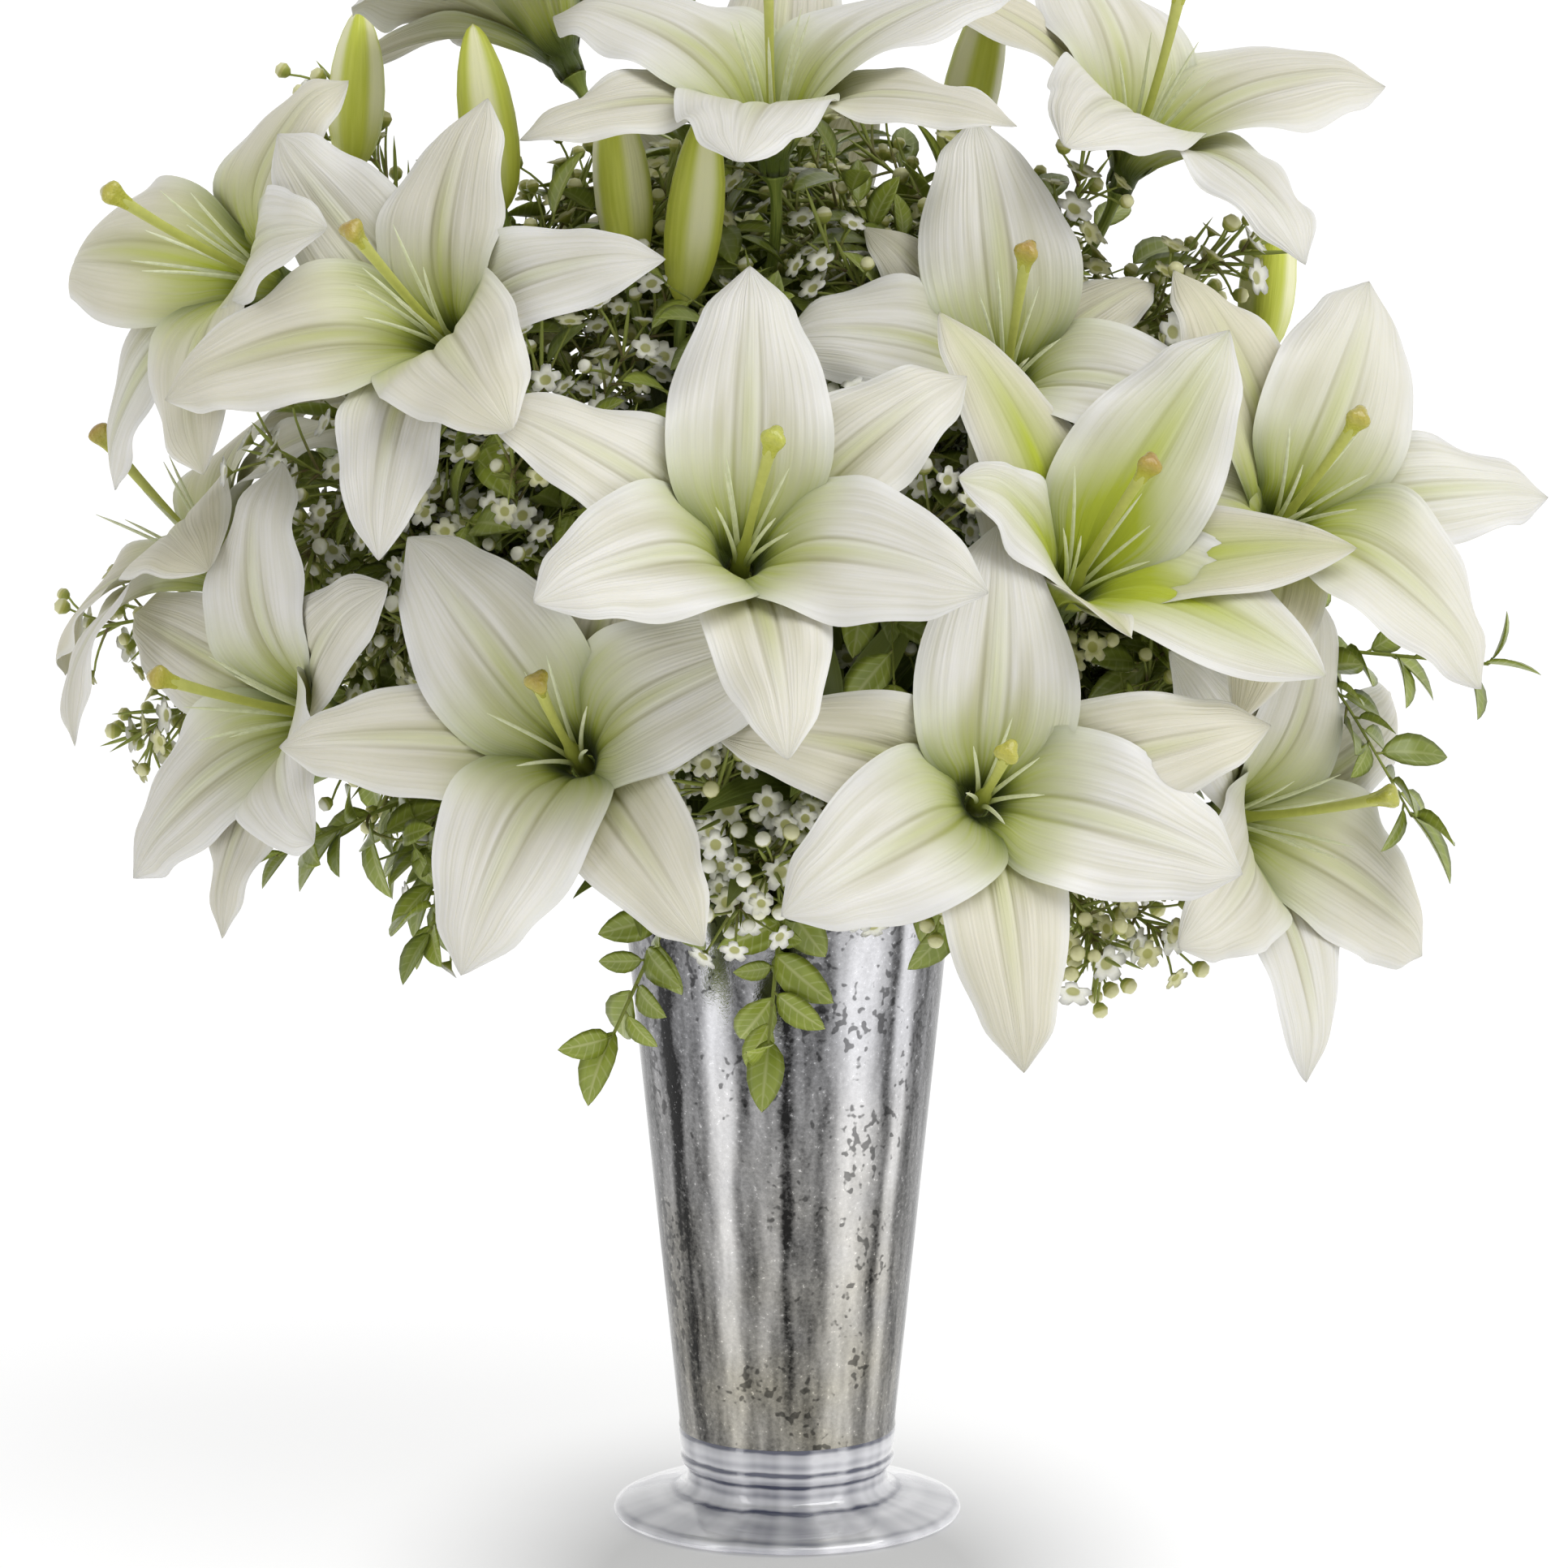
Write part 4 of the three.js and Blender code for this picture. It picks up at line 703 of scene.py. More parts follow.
    aside = add(tree, "ShaderNodeMath", [v, reads["half"]], operation="MULTIPLY")
    aside = add(tree, "ShaderNodeVectorMath", {0: reads["widthways"], "Scale": aside}, operation="SCALE")
    middle = add(tree, "ShaderNodeVectorMath", [reads["centre"], aside], operation="ADD")
    faces = []
    for side in (0.5, -0.5):
        lift = add(tree, "ShaderNodeMath", [thin, side, bend], operation="MULTIPLY_ADD")
        lift = add(tree, "ShaderNodeVectorMath", {0: reads["normal"], "Scale": lift}, operation="SCALE")
        point = add(tree, "ShaderNodeVectorMath", [middle, lift], operation="ADD")
        face = add(tree, "GeometryNodeSetPosition", {"Geometry": sheet, "Position": point})
        if side > 0:
            face = add(tree, "GeometryNodeFlipFaces", [face])
        faces.append(face)
    both = add(tree, "GeometryNodeJoinGeometry", [faces[0]])
    tree.links.new(faces[1].outputs[0], both.inputs[0])
    closed = add(tree, "GeometryNodeMergeByDistance", {"Geometry": both, "Distance": 0.00001})
    closed = add(tree, "GeometryNodeSetShadeSmooth", [closed])
    # The rim's edge is sharp, so that both faces keep their own light right up to it.
    rim = add(tree, "FunctionNodeCompare", [wide, 0.99], operation="GREATER_THAN")
    closed = add(
        tree, "GeometryNodeSetShadeSmooth", {"Geometry": closed, "Selection": rim, "Shade Smooth": False},
        domain="EDGE",
    )
    closed = add(tree, "GeometryNodeRealizeInstances", [closed])
    closed = add(tree, "GeometryNodeSetMaterial", {"Geometry": closed, "Material": given["Finish"]})
    add(tree, "NodeGroupOutput", [closed])
    return tree


GOLDEN_SHARE = 0.618  # its multiples, less their whole parts, spread evenly between 0 and 1

# A lily petal is waxy and lets light through. It is white, yellow-green in the throat and along the
# midrib, and lined with fine veins about 1.5 mm apart, which all run to the tip.
petal, tree, shader = finish(
    "lily_petal",
    Roughness=0.46,
    IOR=1.42,
    Subsurface_Weight=0.22,
    Subsurface_Radius=(1.0, 0.9, 0.6),
    Subsurface_Scale=0.0025,
    Sheen_Weight=0.08,
)
share, side, young, lot = (
    add(tree, "ShaderNodeAttribute", attribute_name=key).outputs["Fac"]
    for key in ("share", "across", "young", "lot")
)
flank = add(tree, "ShaderNodeMath", [side], operation="ABSOLUTE")
place = add(tree, "ShaderNodeTexCoord").outputs["Object"]
cloud = add(tree, "ShaderNodeTexNoise", {"Vector": place, "Scale": 30.0, "Detail": 2.0})
# Veins: 18 to a half width of 25 mm, and nearly straight along a length of 96 mm.
veining = add(tree, "ShaderNodeMath", [side, 18.0], operation="MULTIPLY")
length = add(tree, "ShaderNodeMath", [share, 1.6], operation="MULTIPLY")
veining = add(tree, "ShaderNodeCombineXYZ", [veining, length, lot])
veins = add(tree, "ShaderNodeTexNoise", {"Vector": veining, "Scale": 1.0, "Detail": 1.5})
reach = add(tree, "ShaderNodeMath", [cloud, 0.24, 0.42], operation="MULTIPLY_ADD")
throat = add(tree, "ShaderNodeMapRange", [share, reach, 0.04, 0.0, 1.0], interpolation_type="SMOOTHSTEP")
midrib = add(tree, "ShaderNodeMapRange", [flank, 0.22, 0.0, 0.0, 0.7], interpolation_type="SMOOTHSTEP")
fading = add(tree, "ShaderNodeMapRange", [share, 0.85, 0.15, 0.0, 1.0])
midrib = add(tree, "ShaderNodeMath", [midrib, fading], operation="MULTIPLY")
lined = add(tree, "ShaderNodeMapRange", [veins, 0.35, 0.7, 0.7, 1.1])
green = add(tree, "ShaderNodeMath", [throat, midrib], operation="MAXIMUM")
green = add(tree, "ShaderNodeMath", [green, lined], operation="MULTIPLY")
flush = add(tree, "ShaderNodeMapRange", [flank, 0.85, 0.1, 0.0, 1.0])
late = add(tree, "ShaderNodeMapRange", [share, 0.9, 0.3, 0.25, 1.0])
flush = add(tree, "ShaderNodeMath", [flush, late], operation="MULTIPLY")
flush = add(tree, "ShaderNodeMath", [flush, young], operation="MULTIPLY")
green = add(tree, "ShaderNodeMath", [green, flush], operation="ADD", use_clamp=True)
white = add(tree, "ShaderNodeMixRGB", [cloud, linear("#e7e5e1"), linear("#d8d5ca")])
# Some petals are creamier than their neighbours.
cream = add(tree, "ShaderNodeMath", [lot, GOLDEN_SHARE], operation="MULTIPLY")
cream = add(tree, "ShaderNodeMath", [cream], operation="FRACT")
cream = add(tree, "ShaderNodeMapRange", [cream, 0.35, 1.0, 0.0, 0.8])
white = add(tree, "ShaderNodeMixRGB", [cream, white, linear("#d2ccb2")])
# Painted shade lies along it in broad grey-olive streaks, 8 mm wide, between the veins, strongest near the
# midrib and the base.
painted_streak_shade = add(tree, "ShaderNodeMath", [side, 3.0], operation="MULTIPLY")
painted_streak_shade = add(tree, "ShaderNodeCombineXYZ", [painted_streak_shade, length, lot])
painted_streak_shade = add(tree, "ShaderNodeTexNoise", {"Vector": painted_streak_shade, "Scale": 1.0, "Detail": 1.0})
painted_streak_shade = add(tree, "ShaderNodeMapRange", [painted_streak_shade, 0.42, 0.72, 0.0, 0.75], interpolation_type="SMOOTHSTEP")
inward = add(tree, "ShaderNodeMapRange", [flank, 0.75, 0.2, 0.3, 1.0], interpolation_type="SMOOTHSTEP")
early = add(tree, "ShaderNodeMapRange", [share, 0.95, 0.35, 0.25, 1.0], interpolation_type="SMOOTHSTEP")
inward = add(tree, "ShaderNodeMath", [inward, early], operation="MULTIPLY")
painted_streak_shade = add(tree, "ShaderNodeMath", [painted_streak_shade, inward], operation="MULTIPLY")
white = add(tree, "ShaderNodeMixRGB", [painted_streak_shade, white, linear("#b3b08e")])
vein_tone = add(tree, "ShaderNodeMapRange", [veins, 0.35, 0.6, 0.26, 0.0])
white = add(tree, "ShaderNodeMixRGB", [vein_tone, white, linear("#b9b79a")])
# The rims are lighter: a painted highlight.
painted_rim_highlight = add(tree, "ShaderNodeMapRange", [flank, 0.8, 1.0, 0.0, 0.45])
white = add(tree, "ShaderNodeMixRGB", [painted_rim_highlight, white, linear("#f8f8f6")])
# Olive lines run down the two furrows beside the midrib: partly their own green, partly painted shade in the
# furrows.
furrow = add(tree, "ShaderNodeMath", [flank, 0.16], operation="SUBTRACT")
furrow = add(tree, "ShaderNodeMath", [furrow], operation="ABSOLUTE")
furrow = add(tree, "ShaderNodeMapRange", [furrow, 0.06, 0.0, 0.0, 0.6], interpolation_type="SMOOTHSTEP")
fading = add(tree, "ShaderNodeMapRange", [share, 0.92, 0.4, 0.0, 1.0])
furrow = add(tree, "ShaderNodeMath", [furrow, fading], operation="MULTIPLY")
white = add(tree, "ShaderNodeMixRGB", [furrow, white, linear("#989470")])
tinted = add(tree, "ShaderNodeMixRGB", [green, white, linear("#afba34")])
# Deep green at the base, and further out along the claw's rims, which meet their neighbours: the throat's own
# green, darkened with painted shade where the claws meet.
low = add(tree, "ShaderNodeMapRange", [share, 0.2, 0.02, 0.0, 1.0], interpolation_type="SMOOTHSTEP")
out = add(tree, "ShaderNodeMapRange", [share, 0.38, 0.1, 0.0, 1.0], interpolation_type="SMOOTHSTEP")
rims = add(tree, "ShaderNodeMapRange", [flank, 0.5, 1.0, 0.0, 1.0], interpolation_type="SMOOTHSTEP")
out = add(tree, "ShaderNodeMath", [out, rims], operation="MULTIPLY")
deep_green_and_shade = add(tree, "ShaderNodeMath", [low, out], operation="MAXIMUM")
tinted = add(tree, "ShaderNodeMixRGB", [deep_green_and_shade, tinted, linear("#4c5a14")])
tree.links.new(tinted.outputs[0], shader.inputs["Base Color"])
relief = add(tree, "ShaderNodeBump", {"Height": veins, "Strength": 0.6, "Distance": 0.0008})
tree.links.new(relief.outputs[0], shader.inputs["Normal"])

PETAL_SHARES = np.concatenate([[0], np.linspace(0.012, 0.97, 38), [0.988, 1]])
BASE_ROWS = [(-TUBE_HEIGHT, -0.4), (-TUBE_HEIGHT / 2, -0.2)]  # down the ring, and in to the receptacle
PETAL_LOT = 7.3  # between one petal's pattern and the next
PETAL_POINTS_ACROSS = 25

# Play and nudge: how a petal gives way, step by step, where it would cut into one that stands already.
PETAL_STEPS = (
    (1, 0), (0.4, 0), (0.1, 0), (0.1, 1.5), (0.1, -1.5), (0.1, 3), (0.1, -3), (0.1, 5), (0.1, -5),
    (0, 8), (0, -8),
)

blades = blade_tree()


def petal_spine(name, k, shape, play, nudge):
    """A petal's spine from the receptacle to its tip. Its own small bends are as large as play says, and
    it opens by nudge more degrees."""
    shape = SimpleNamespace(**vars(shape) | {"open": shape.open + nudge})
    play *= BLOOMS[name]["own"].get(k, {}).get("calm", 1)
    spine = tepal_spine(shape, PETAL_SHARES)
    outward = 0.25 if k % 2 else -0.25
    # The claw goes on down to the receptacle, where the six make the ring.
    base = [spine["centre"][0] + drop * shape.frame.axis + (outward + inward) * shape.radial
            for drop, inward in BASE_ROWS]
    for key in ("centre", "normal", "widthways", "half", "channel", "ruffle", "phase", "share"):
        first = base if key == "centre" else [spine[key][0]] * len(base)
        spine[key] = np.concatenate([first, spine[key]])
    share = spine["share"]
    # The claw is narrow, so that the throat shows dark between the claws. The tip is round and hooks back.
    claw = (0.24 if k % 2 == 0 else 0.12) * np.exp(-(((share - 0.14) / 0.09) ** 2))
    tip = 0.2 * play * np.exp(-(((share - 0.88) / 0.07) ** 2))
    spine["half"] = spine["half"] * (1 - claw + tip)
    hook = (3.5 + 2.5 * draw(shape.seed + 0.7)) * play
    spine["centre"] = spine["centre"] - (hook * smooth(0.72, 1, share) ** 2)[:, None] * spine["normal"]
    spine["thickness"] = PETAL_THICKNESS * np.minimum(1, (1.02 - share) * 8)
    spine["thickness"][[0, -1]] = 0
    spine["groove"] = 1.7 * smooth(0.02, 0.2, share) * (1 - share)
    spine["fold"] = 0 * share
    frill = (1.3 + 0.7 * draw(shape.seed + 0.8)) * play
    spine["frill"] = frill * smooth(0.15, 0.45, share) * smooth(1, 0.8, share)
    spine["roll"] = 0.11 * play * spine["half"] * smooth(0.3, 0.6, share)
    spine["young"] = BLOOMS[name].get("young", 0) + 0.12 * smooth(0.86, 1, share)
    spine["lot"] = np.full(len(share), PETAL_LOT * shape.seed)
    return spine


opened = []  # the surfaces of the blooms made so far
for name in BLOOMS:
    corners = corners_of(name)
    shapes = [tepal_as_built(name, k, corners) for k in range(TEPALS)]
    # Each petal takes the first step at which it meets the fewest faces of the blooms before.
    chosen, fewest = [PETAL_STEPS[0]] * TEPALS, [math.inf] * TEPALS
    for step in (*PETAL_STEPS, None):
        steps = [step or best for best in chosen]
        spines = [petal_spine(name, k, shape, *steps[k]) for k, shape in enumerate(shapes)]
        settings = {"Points Across": PETAL_POINTS_ACROSS, "Finish": petal}
        mesh = grown(name, lines_mesh(name, spines), blades, **settings)
        surface = BVHTree.FromPolygons(
            [tuple(v.co) for v in mesh.vertices], [tuple(f.vertices) for f in mesh.polygons]
        )
        if step is None:
            break
        met = [0] * TEPALS
        for face in {face for other in opened for face, _ in surface.overlap(other)}:
            lot = mesh.attributes["lot"].data[mesh.polygons[face].vertices[0]].value
            met[round(lot / PETAL_LOT) % 10] += 1
        if step == PETAL_STEPS[0] and not any(met):
            break
        for k in range(TEPALS):
            if met[k] < fewest[k]:
                chosen[k], fewest[k] = step, met[k]
    opened.append(surface)
    piece("petals_" + name[-2:], mesh, [name])

# ---- The lily stems ----
# Satin green stems as thick as a pencil, which stand on the vase's floor and lean out through its
# mouth. Each parts into thinner stalks, which end in the receptacles of its blooms or in a bud.

MOUTH_LEVEL = 208  # where the stems' places in the mouth are given
FLOOR_SPREAD = 0.56
PIECE_GAP = 0.35
STEM_RADIUS = 3.1
STEM_TOP_RADIUS = 2.6
PEDICEL_RADIUS = 1.9
PEDICEL_ROOT = 3
BLOOM_NECK = 9
BUD_NECK = 6

# buds: the base of each, the way that it points, and its length.
LILY_STEMS = {
    "lily_stem_01": dict(mouth=(-22, -30), apex=(-52, -66, 258), blooms=["lily_02", "lily_10"]),
    "lily_stem_02": dict(mouth=(3, -34), apex=(12, -72, 270), blooms=["lily_01", "lily_03"]),
    "lily_stem_03": dict(mouth=(34, -14), apex=(82, -36, 262), blooms=["lily_05", "lily_06"]),
    "lily_stem_04": dict(mouth=(18, -14), apex=(46, -38, 312), blooms=["lily_04", "lily_12"]),
    "lily_stem_05": dict(
        mouth=(0, -12), apex=(-16, -26, 360), blooms=["lily_11"],
        buds=[((-50, -64, 422), (-0.1, -0.1, 1), 58), ((-33, -72, 412), (0.12, -0.1, 1), 62)],
    ),
    "lily_stem_06": dict(
        mouth=(-20, -10), apex=(-72, -26, 330), blooms=["lily_07", "lily_08"],
        buds=[((-92, -34, 440), (-0.15, 0, 1), 60), ((-142, -6, 452), (0.06, 0, 1), 52)],
    ),
    "lily_stem_07": dict(mouth=(-34, 12), apex=(-92, 22, 268), blooms=["lily_09", "lily_15"]),
    "lily_stem_08": dict(mouth=(-12, 8), apex=(-42, 24, 378), blooms=["lily_13", "lily_17"]),
    "lily_stem_09": dict(
        mouth=(14, 6), apex=(56, 4, 372), blooms=["lily_14"],
        buds=[((54, -8, 448), (0.22, 0.05, 1), 66), ((154, -20, 392), (0.1, 0, 1), 50)],
    ),
    "lily_stem_10": dict(mouth=(20, 28), apex=(58, 62, 282), blooms=["lily_16"]),
}


def stem_point(mouth, height):
    spread = mix(FLOOR_SPREAD, 1, (height - VASE_FLOOR) / (MOUTH_LEVEL - VASE_FLOOR))
    return np.array((mouth[0] * spread, mouth[1] * spread, height))


def stem_controls(mouth, end):
    start, end = stem_point(mouth, MOUTH_LEVEL), np.array(end, float)
    lean = unit(start - stem_point(mouth, VASE_FLOOR))
    return [start, start + 0.45 * np.linalg.norm(end - start) * lean, end]


def pedicel_controls(stem, end, arrive):
    controls = stem_controls(stem["mouth"], stem["apex"])
    lean = unit(controls[2] - controls[1])
    start = controls[2] - PEDICEL_ROOT * lean
    reach = np.linalg.norm(end - start)
    return [start, start + 0.35 * reach * lean, end - 0.4 * reach * arrive, end]


def bezier(controls, count):
    """Points along the curve of these control points."""
    t = np.linspace(0, 1, count)[:, None]
    points = [np.broadcast_to(control, (count, 3)) for control in controls]
    while len(points) > 1:
        points = [mix(a, b, t) for a, b in zip(points, points[1:])]
    return points[0]


def stalk(points, girths, lot):
    """A line for a stem to grow along, with radii at even steps along it."""
    share = np.linspace(0, 1, len(points))
    girth = np.interp(share, np.linspace(0, 1, len(girths)), girths)
    return dict(centre=np.array(points), girth=girth, share=share, lot=np.full(len(points), float(lot)))


# Round closed stems along lines that carry their own girth. Lobes run along those that have them.
stems_tree = bpy.data.node_groups.new("stems_on_lines", "GeometryNodeTree")
tree = stems_tree
for socket, kind in (("Lines", "Geometry"), ("Sides", "Int"), ("Lobes", "Int"), ("Lobe Depth", "Float"),
                     ("Finish", "Material")):
    tree.interface.new_socket(socket, in_out="INPUT", socket_type="NodeSocket" + kind)
tree.interface.new_socket("Stems", in_out="OUTPUT", socket_type="NodeSocketGeometry")
given = add(tree, "NodeGroupInput").outputs
where = add(tree, "GeometryNodeInputPosition")
parts = add(tree, "ShaderNodeSeparateXYZ", [where]).outputs
turn = add(tree, "ShaderNodeMath", [parts["Y"], parts["X"]], operation="ARCTAN2")
turn = add(tree, "ShaderNodeMath", [turn, given["Lobes"]], operation="MULTIPLY")
lobe = add(tree, "ShaderNodeMath", [turn], operation="COSINE")
lobe = add(tree, "ShaderNodeMath", [lobe, given["Lobe Depth"], 1.0], operation="MULTIPLY_ADD")
outline = add(tree, "ShaderNodeVectorMath", {0: where, "Scale": lobe}, operation="SCALE")
ring = add(tree, "GeometryNodeCurvePrimitiveCircle", {"Resolution": given["Sides"], "Radius": 1.0})
ring = add(
    tree, "GeometryNodeStoreNamedAttribute", {"Geometry": ring, "Name": "round", "Value": where},
    data_type="FLOAT_VECTOR",
)
ring = add(tree, "GeometryNodeSetPosition", {"Geometry": ring, "Position": outline})
girth = add(tree, "GeometryNodeInputNamedAttribute", {"Name": "girth"}, data_type="FLOAT")
lines = add(tree, "GeometryNodeMeshToCurve", [given["Lines"]])
grow = add(
    tree, "GeometryNodeCurveToMesh",
    {"Curve": lines, "Profile Curve": ring, "Scale": girth, "Fill Caps": True},
)
grow = add(tree, "GeometryNodeMergeByDistance", {"Geometry": grow, "Distance": 0.00001})
grow = add(tree, "GeometryNodeSetShadeSmooth", [grow])
grow = add(tree, "GeometryNodeRealizeInstances", [grow])
grow = add(tree, "GeometryNodeSetMaterial", {"Geometry": grow, "Material": given["Finish"]})
add(tree, "NodeGroupOutput", [grow])

# A lily's stem is smooth and satin, a fresh green with paler streaks along it, about 1 mm wide.
stem_skin, tree, shader = finish("lily_stem_skin", Roughness=0.42, IOR=1.42)
around = add(tree, "ShaderNodeAttribute", attribute_name="round").outputs["Vector"]
share = add(tree, "ShaderNodeAttribute", attribute_name="share").outputs["Fac"]
lot = add(tree, "ShaderNodeAttribute", attribute_name="lot").outputs["Fac"]
length = add(tree, "ShaderNodeMath", [share, 3.0, lot], operation="MULTIPLY_ADD")
length = add(tree, "ShaderNodeCombineXYZ", [0.0, 0.0, length])
streaking = add(tree, "ShaderNodeVectorMath", [around, length], operation="ADD")
streaks = add(tree, "ShaderNodeTexNoise", {"Vector": streaking, "Scale": 3.2, "Detail": 3.0})
streak_tone = add(tree, "ShaderNodeMapRange", [streaks, 0.35, 0.65, 0.0, 1.0])
tone = add(tree, "ShaderNodeMixRGB", [streak_tone, linear("#66772e"), linear("#8f9c48")])
tree.links.new(tone.outputs[0], shader.inputs["Base Color"])
relief = add(tree, "ShaderNodeBump", {"Height": streaks, "Strength": 0.35, "Distance": 0.0006})
tree.links.new(relief.outputs[0], shader.inputs["Normal"])

# A bud's skin is the same wax as a petal's, still green, with a pale flush between its ribs.
bud_skin, tree, shader = finish(
    "lily_bud_skin", Roughness=0.42, IOR=1.42, Subsurface_Weight=0.25,
    Subsurface_Radius=(1.0, 0.95, 0.5), Subsurface_Scale=0.002,
)
around = add(tree, "ShaderNodeAttribute", attribute_name="round").outputs["Vector"]
share = add(tree, "ShaderNodeAttribute", attribute_name="share").outputs["Fac"]
parts = add(tree, "ShaderNodeSeparateXYZ", [around]).outputs
turn = add(tree, "ShaderNodeMath", [parts["Y"], parts["X"]], operation="ARCTAN2")
turn = add(tree, "ShaderNodeMath", [turn, 3.0], operation="MULTIPLY")
rib = add(tree, "ShaderNodeMath", [turn], operation="COSINE")
lot = add(tree, "ShaderNodeAttribute", attribute_name="lot").outputs["Fac"]
length = add(tree, "ShaderNodeMath", [share, 1.4, lot], operation="MULTIPLY_ADD")
length = add(tree, "ShaderNodeCombineXYZ", [0.0, 0.0, length])
streaking = add(tree, "ShaderNodeVectorMath", {0: around, "Scale": 4.0}, operation="SCALE")
streaking = add(tree, "ShaderNodeVectorMath", [streaking, length], operation="ADD")
streaks = add(tree, "ShaderNodeTexNoise", {"Vector": streaking, "Scale": 1.6, "Detail": 2.0})
pale = add(tree, "ShaderNodeMapRange", [rib, 0.5, -0.9, 0.0, 0.8], interpolation_type="SMOOTHSTEP")
body = add(tree, "ShaderNodeMapRange", [share, 0.1, 0.45, 0.2, 1.0], interpolation_type="SMOOTHSTEP")
pale = add(tree, "ShaderNodeMath", [pale, body], operation="MULTIPLY")
tone = add(tree, "ShaderNodeMixRGB", [streaks, linear("#b3bd3a"), linear("#d3d85e")])
tone = add(tree, "ShaderNodeMixRGB", [pale, tone, linear("#f2f0cb")])
tree.links.new(tone.outputs[0], shader.inputs["Base Color"])
relief = add(tree, "ShaderNodeBump", {"Height": streaks, "Strength": 0.4, "Distance": 0.0008})
tree.links.new(relief.outputs[0], shader.inputs["Normal"])

BUD_SHARES = (0, 0.03, 0.07, 0.14, 0.24, 0.36, 0.5, 0.64, 0.76, 0.86, 0.93, 0.975, 1)
BUD_RADII = (2, 3.6, 5.2, 7, 8.3, 9, 9, 8.3, 7, 5.3, 3.7, 2.1, 0)
RECEPTACLE = ((-6.5, 2), (-4.5, 2.4), (-2.6, 3.2), (-1.2, 4), (-0.6, 4.4), (-0.35, 4.5), (-0.31, 3.4))

for number, (name, stem) in enumerate(LILY_STEMS.items()):
    upper = bezier(stem_controls(stem["mouth"], stem["apex"]), 28)
    foot = stem_point(stem["mouth"], VASE_FLOOR + PIECE_GAP)
    straight = np.linspace(foot, upper[0], 12)[:-1]
    # The stem swells a little where it parts, and rounds off above that.
    top = upper[-1] + np.outer([0.8, 1.5, 1.9], unit(upper[-1] - upper[-2]))
    lines = [stalk(np.concatenate([straight, upper, top]), [STEM_RADIUS, 2.9, STEM_TOP_RADIUS, 3], number)]
    lines[0]["girth"][-3:] = (2.6, 1.8, 0)
    for bloom_name in stem["blooms"]:
        at = bloom_frame(bloom_name)
        controls = pedicel_controls(stem, at.base - BLOOM_NECK * at.axis, at.axis)
        line = stalk(bezier(controls, 26), [PEDICEL_RADIUS], number + 0.37)
        receptacle = np.array([at.base + height * at.axis for height, _ in RECEPTACLE])
        for key, values in line.items():
            line[key] = np.concatenate([values, np.repeat(values[-1:], len(RECEPTACLE), 0)])
        line["centre"][-len(RECEPTACLE):] = receptacle
        line["girth"][-len(RECEPTACLE):] = [radius for _, radius in RECEPTACLE]
        lines.append(line)
    buds = []
    for base, way, length in stem.get("buds", []):
        direction, base = unit(way), np.array(base, float)
        controls = pedicel_controls(stem, base - BUD_NECK * direction, direction)
        neck = np.array([base - 3 * direction, base + 0.6 * direction])
        lines.append(stalk(np.concatenate([bezier(controls, 26), neck]), [PEDICEL_RADIUS], number + 0.71))
        along = np.outer(np.array(BUD_SHARES) * length, direction) + base
        bud = stalk(along, [0], 9.1 * number + length)
        bud["girth"], bud["share"] = np.array(BUD_RADII, float), np.array(BUD_SHARES, float)
        buds.append(bud)
    mesh = grown("stem", lines_mesh("stem", lines), stems_tree, Sides=18, Finish=stem_skin)
    piece("stem_" + name[-2:], mesh, [name])
    if buds:
        settings = {"Sides": 36, "Lobes": 3, "Lobe Depth": 0.09, "Finish": bud_skin}
        mesh = grown("buds", lines_mesh("buds", buds), stems_tree, **settings)
        piece("buds_" + name[-2:], mesh, [name])

# ---- The pistils and filaments ----
# In each throat stand a green ovary, a long style with a sticky three-lobed stigma, and six thin
# filaments about half as long. The anthers have been taken off, as florists do.

STYLE_LENGTH = 76
FILAMENT_LENGTH = 52
# Millimetres along the pistil, and the radius there.
OVARY_AND_STYLE = (
    (-0.33, 3), (0.6, 3.2), (4, 3.1), (10, 2.9), (16, 2.7), (19.5, 2.2), (22, 1.7), (25, 1.45), (34, 1.35),
    (44, 1.45), (54, 1.6), (62, 1.8), (67, 2), (70.5, 2),
)
STIGMA = (
    (66, 1.9), (68.6, 2.2), (70.4, 2.7), (72, 3.3), (73.4, 3.6), (74.5, 3.4), (75.3, 2.5), (75.8, 1.2),
    (76, 0),
)

# The style is pale green and waxy, deeper at the ovary. The stigma is wet, and yellow-green.
style_skin, tree, shader = finish(
    "style_and_filament", Roughness=0.38, IOR=1.42, Subsurface_Weight=0.15,
    Subsurface_Radius=(1.0, 1.0, 0.5), Subsurface_Scale=0.0015,
)
share = add(tree, "ShaderNodeAttribute", attribute_name="share").outputs["Fac"]
pale = add(tree, "ShaderNodeAttribute", attribute_name="young").outputs["Fac"]
tone = add(tree, "ShaderNodeMixRGB", [share, linear("#9fa83c"), linear("#c6c870")])
tone = add(tree, "ShaderNodeMixRGB", [pale, tone, linear("#e8ecd2")])
place = add(tree, "ShaderNodeTexCoord").outputs["Object"]
mottle = add(tree, "ShaderNodeTexNoise", {"Vector": place, "Scale": 400.0, "Detail": 2.0})
shade = add(tree, "ShaderNodeMapRange", [mottle, 0.3, 0.7, 0.0, 0.25])
tone = add(tree, "ShaderNodeMixRGB", [shade, tone, linear("#939a3e")])
tree.links.new(tone.outputs[0], shader.inputs["Base Color"])

stigma_skin, tree, shader = finish(
    "sticky_stigma", Roughness=0.22, IOR=1.42, Coat_Weight=0.5, Coat_Roughness=0.1, Subsurface_Weight=0.1,
    Subsurface_Radius=(1.0, 1.0, 0.4), Subsurface_Scale=0.001,
)
place = add(tree, "ShaderNodeTexCoord").outputs["Object"]
grains = add(tree, "ShaderNodeTexNoise", {"Vector": place, "Scale": 900.0, "Detail": 2.0})
share = add(tree, "ShaderNodeAttribute", attribute_name="share").outputs["Fac"]
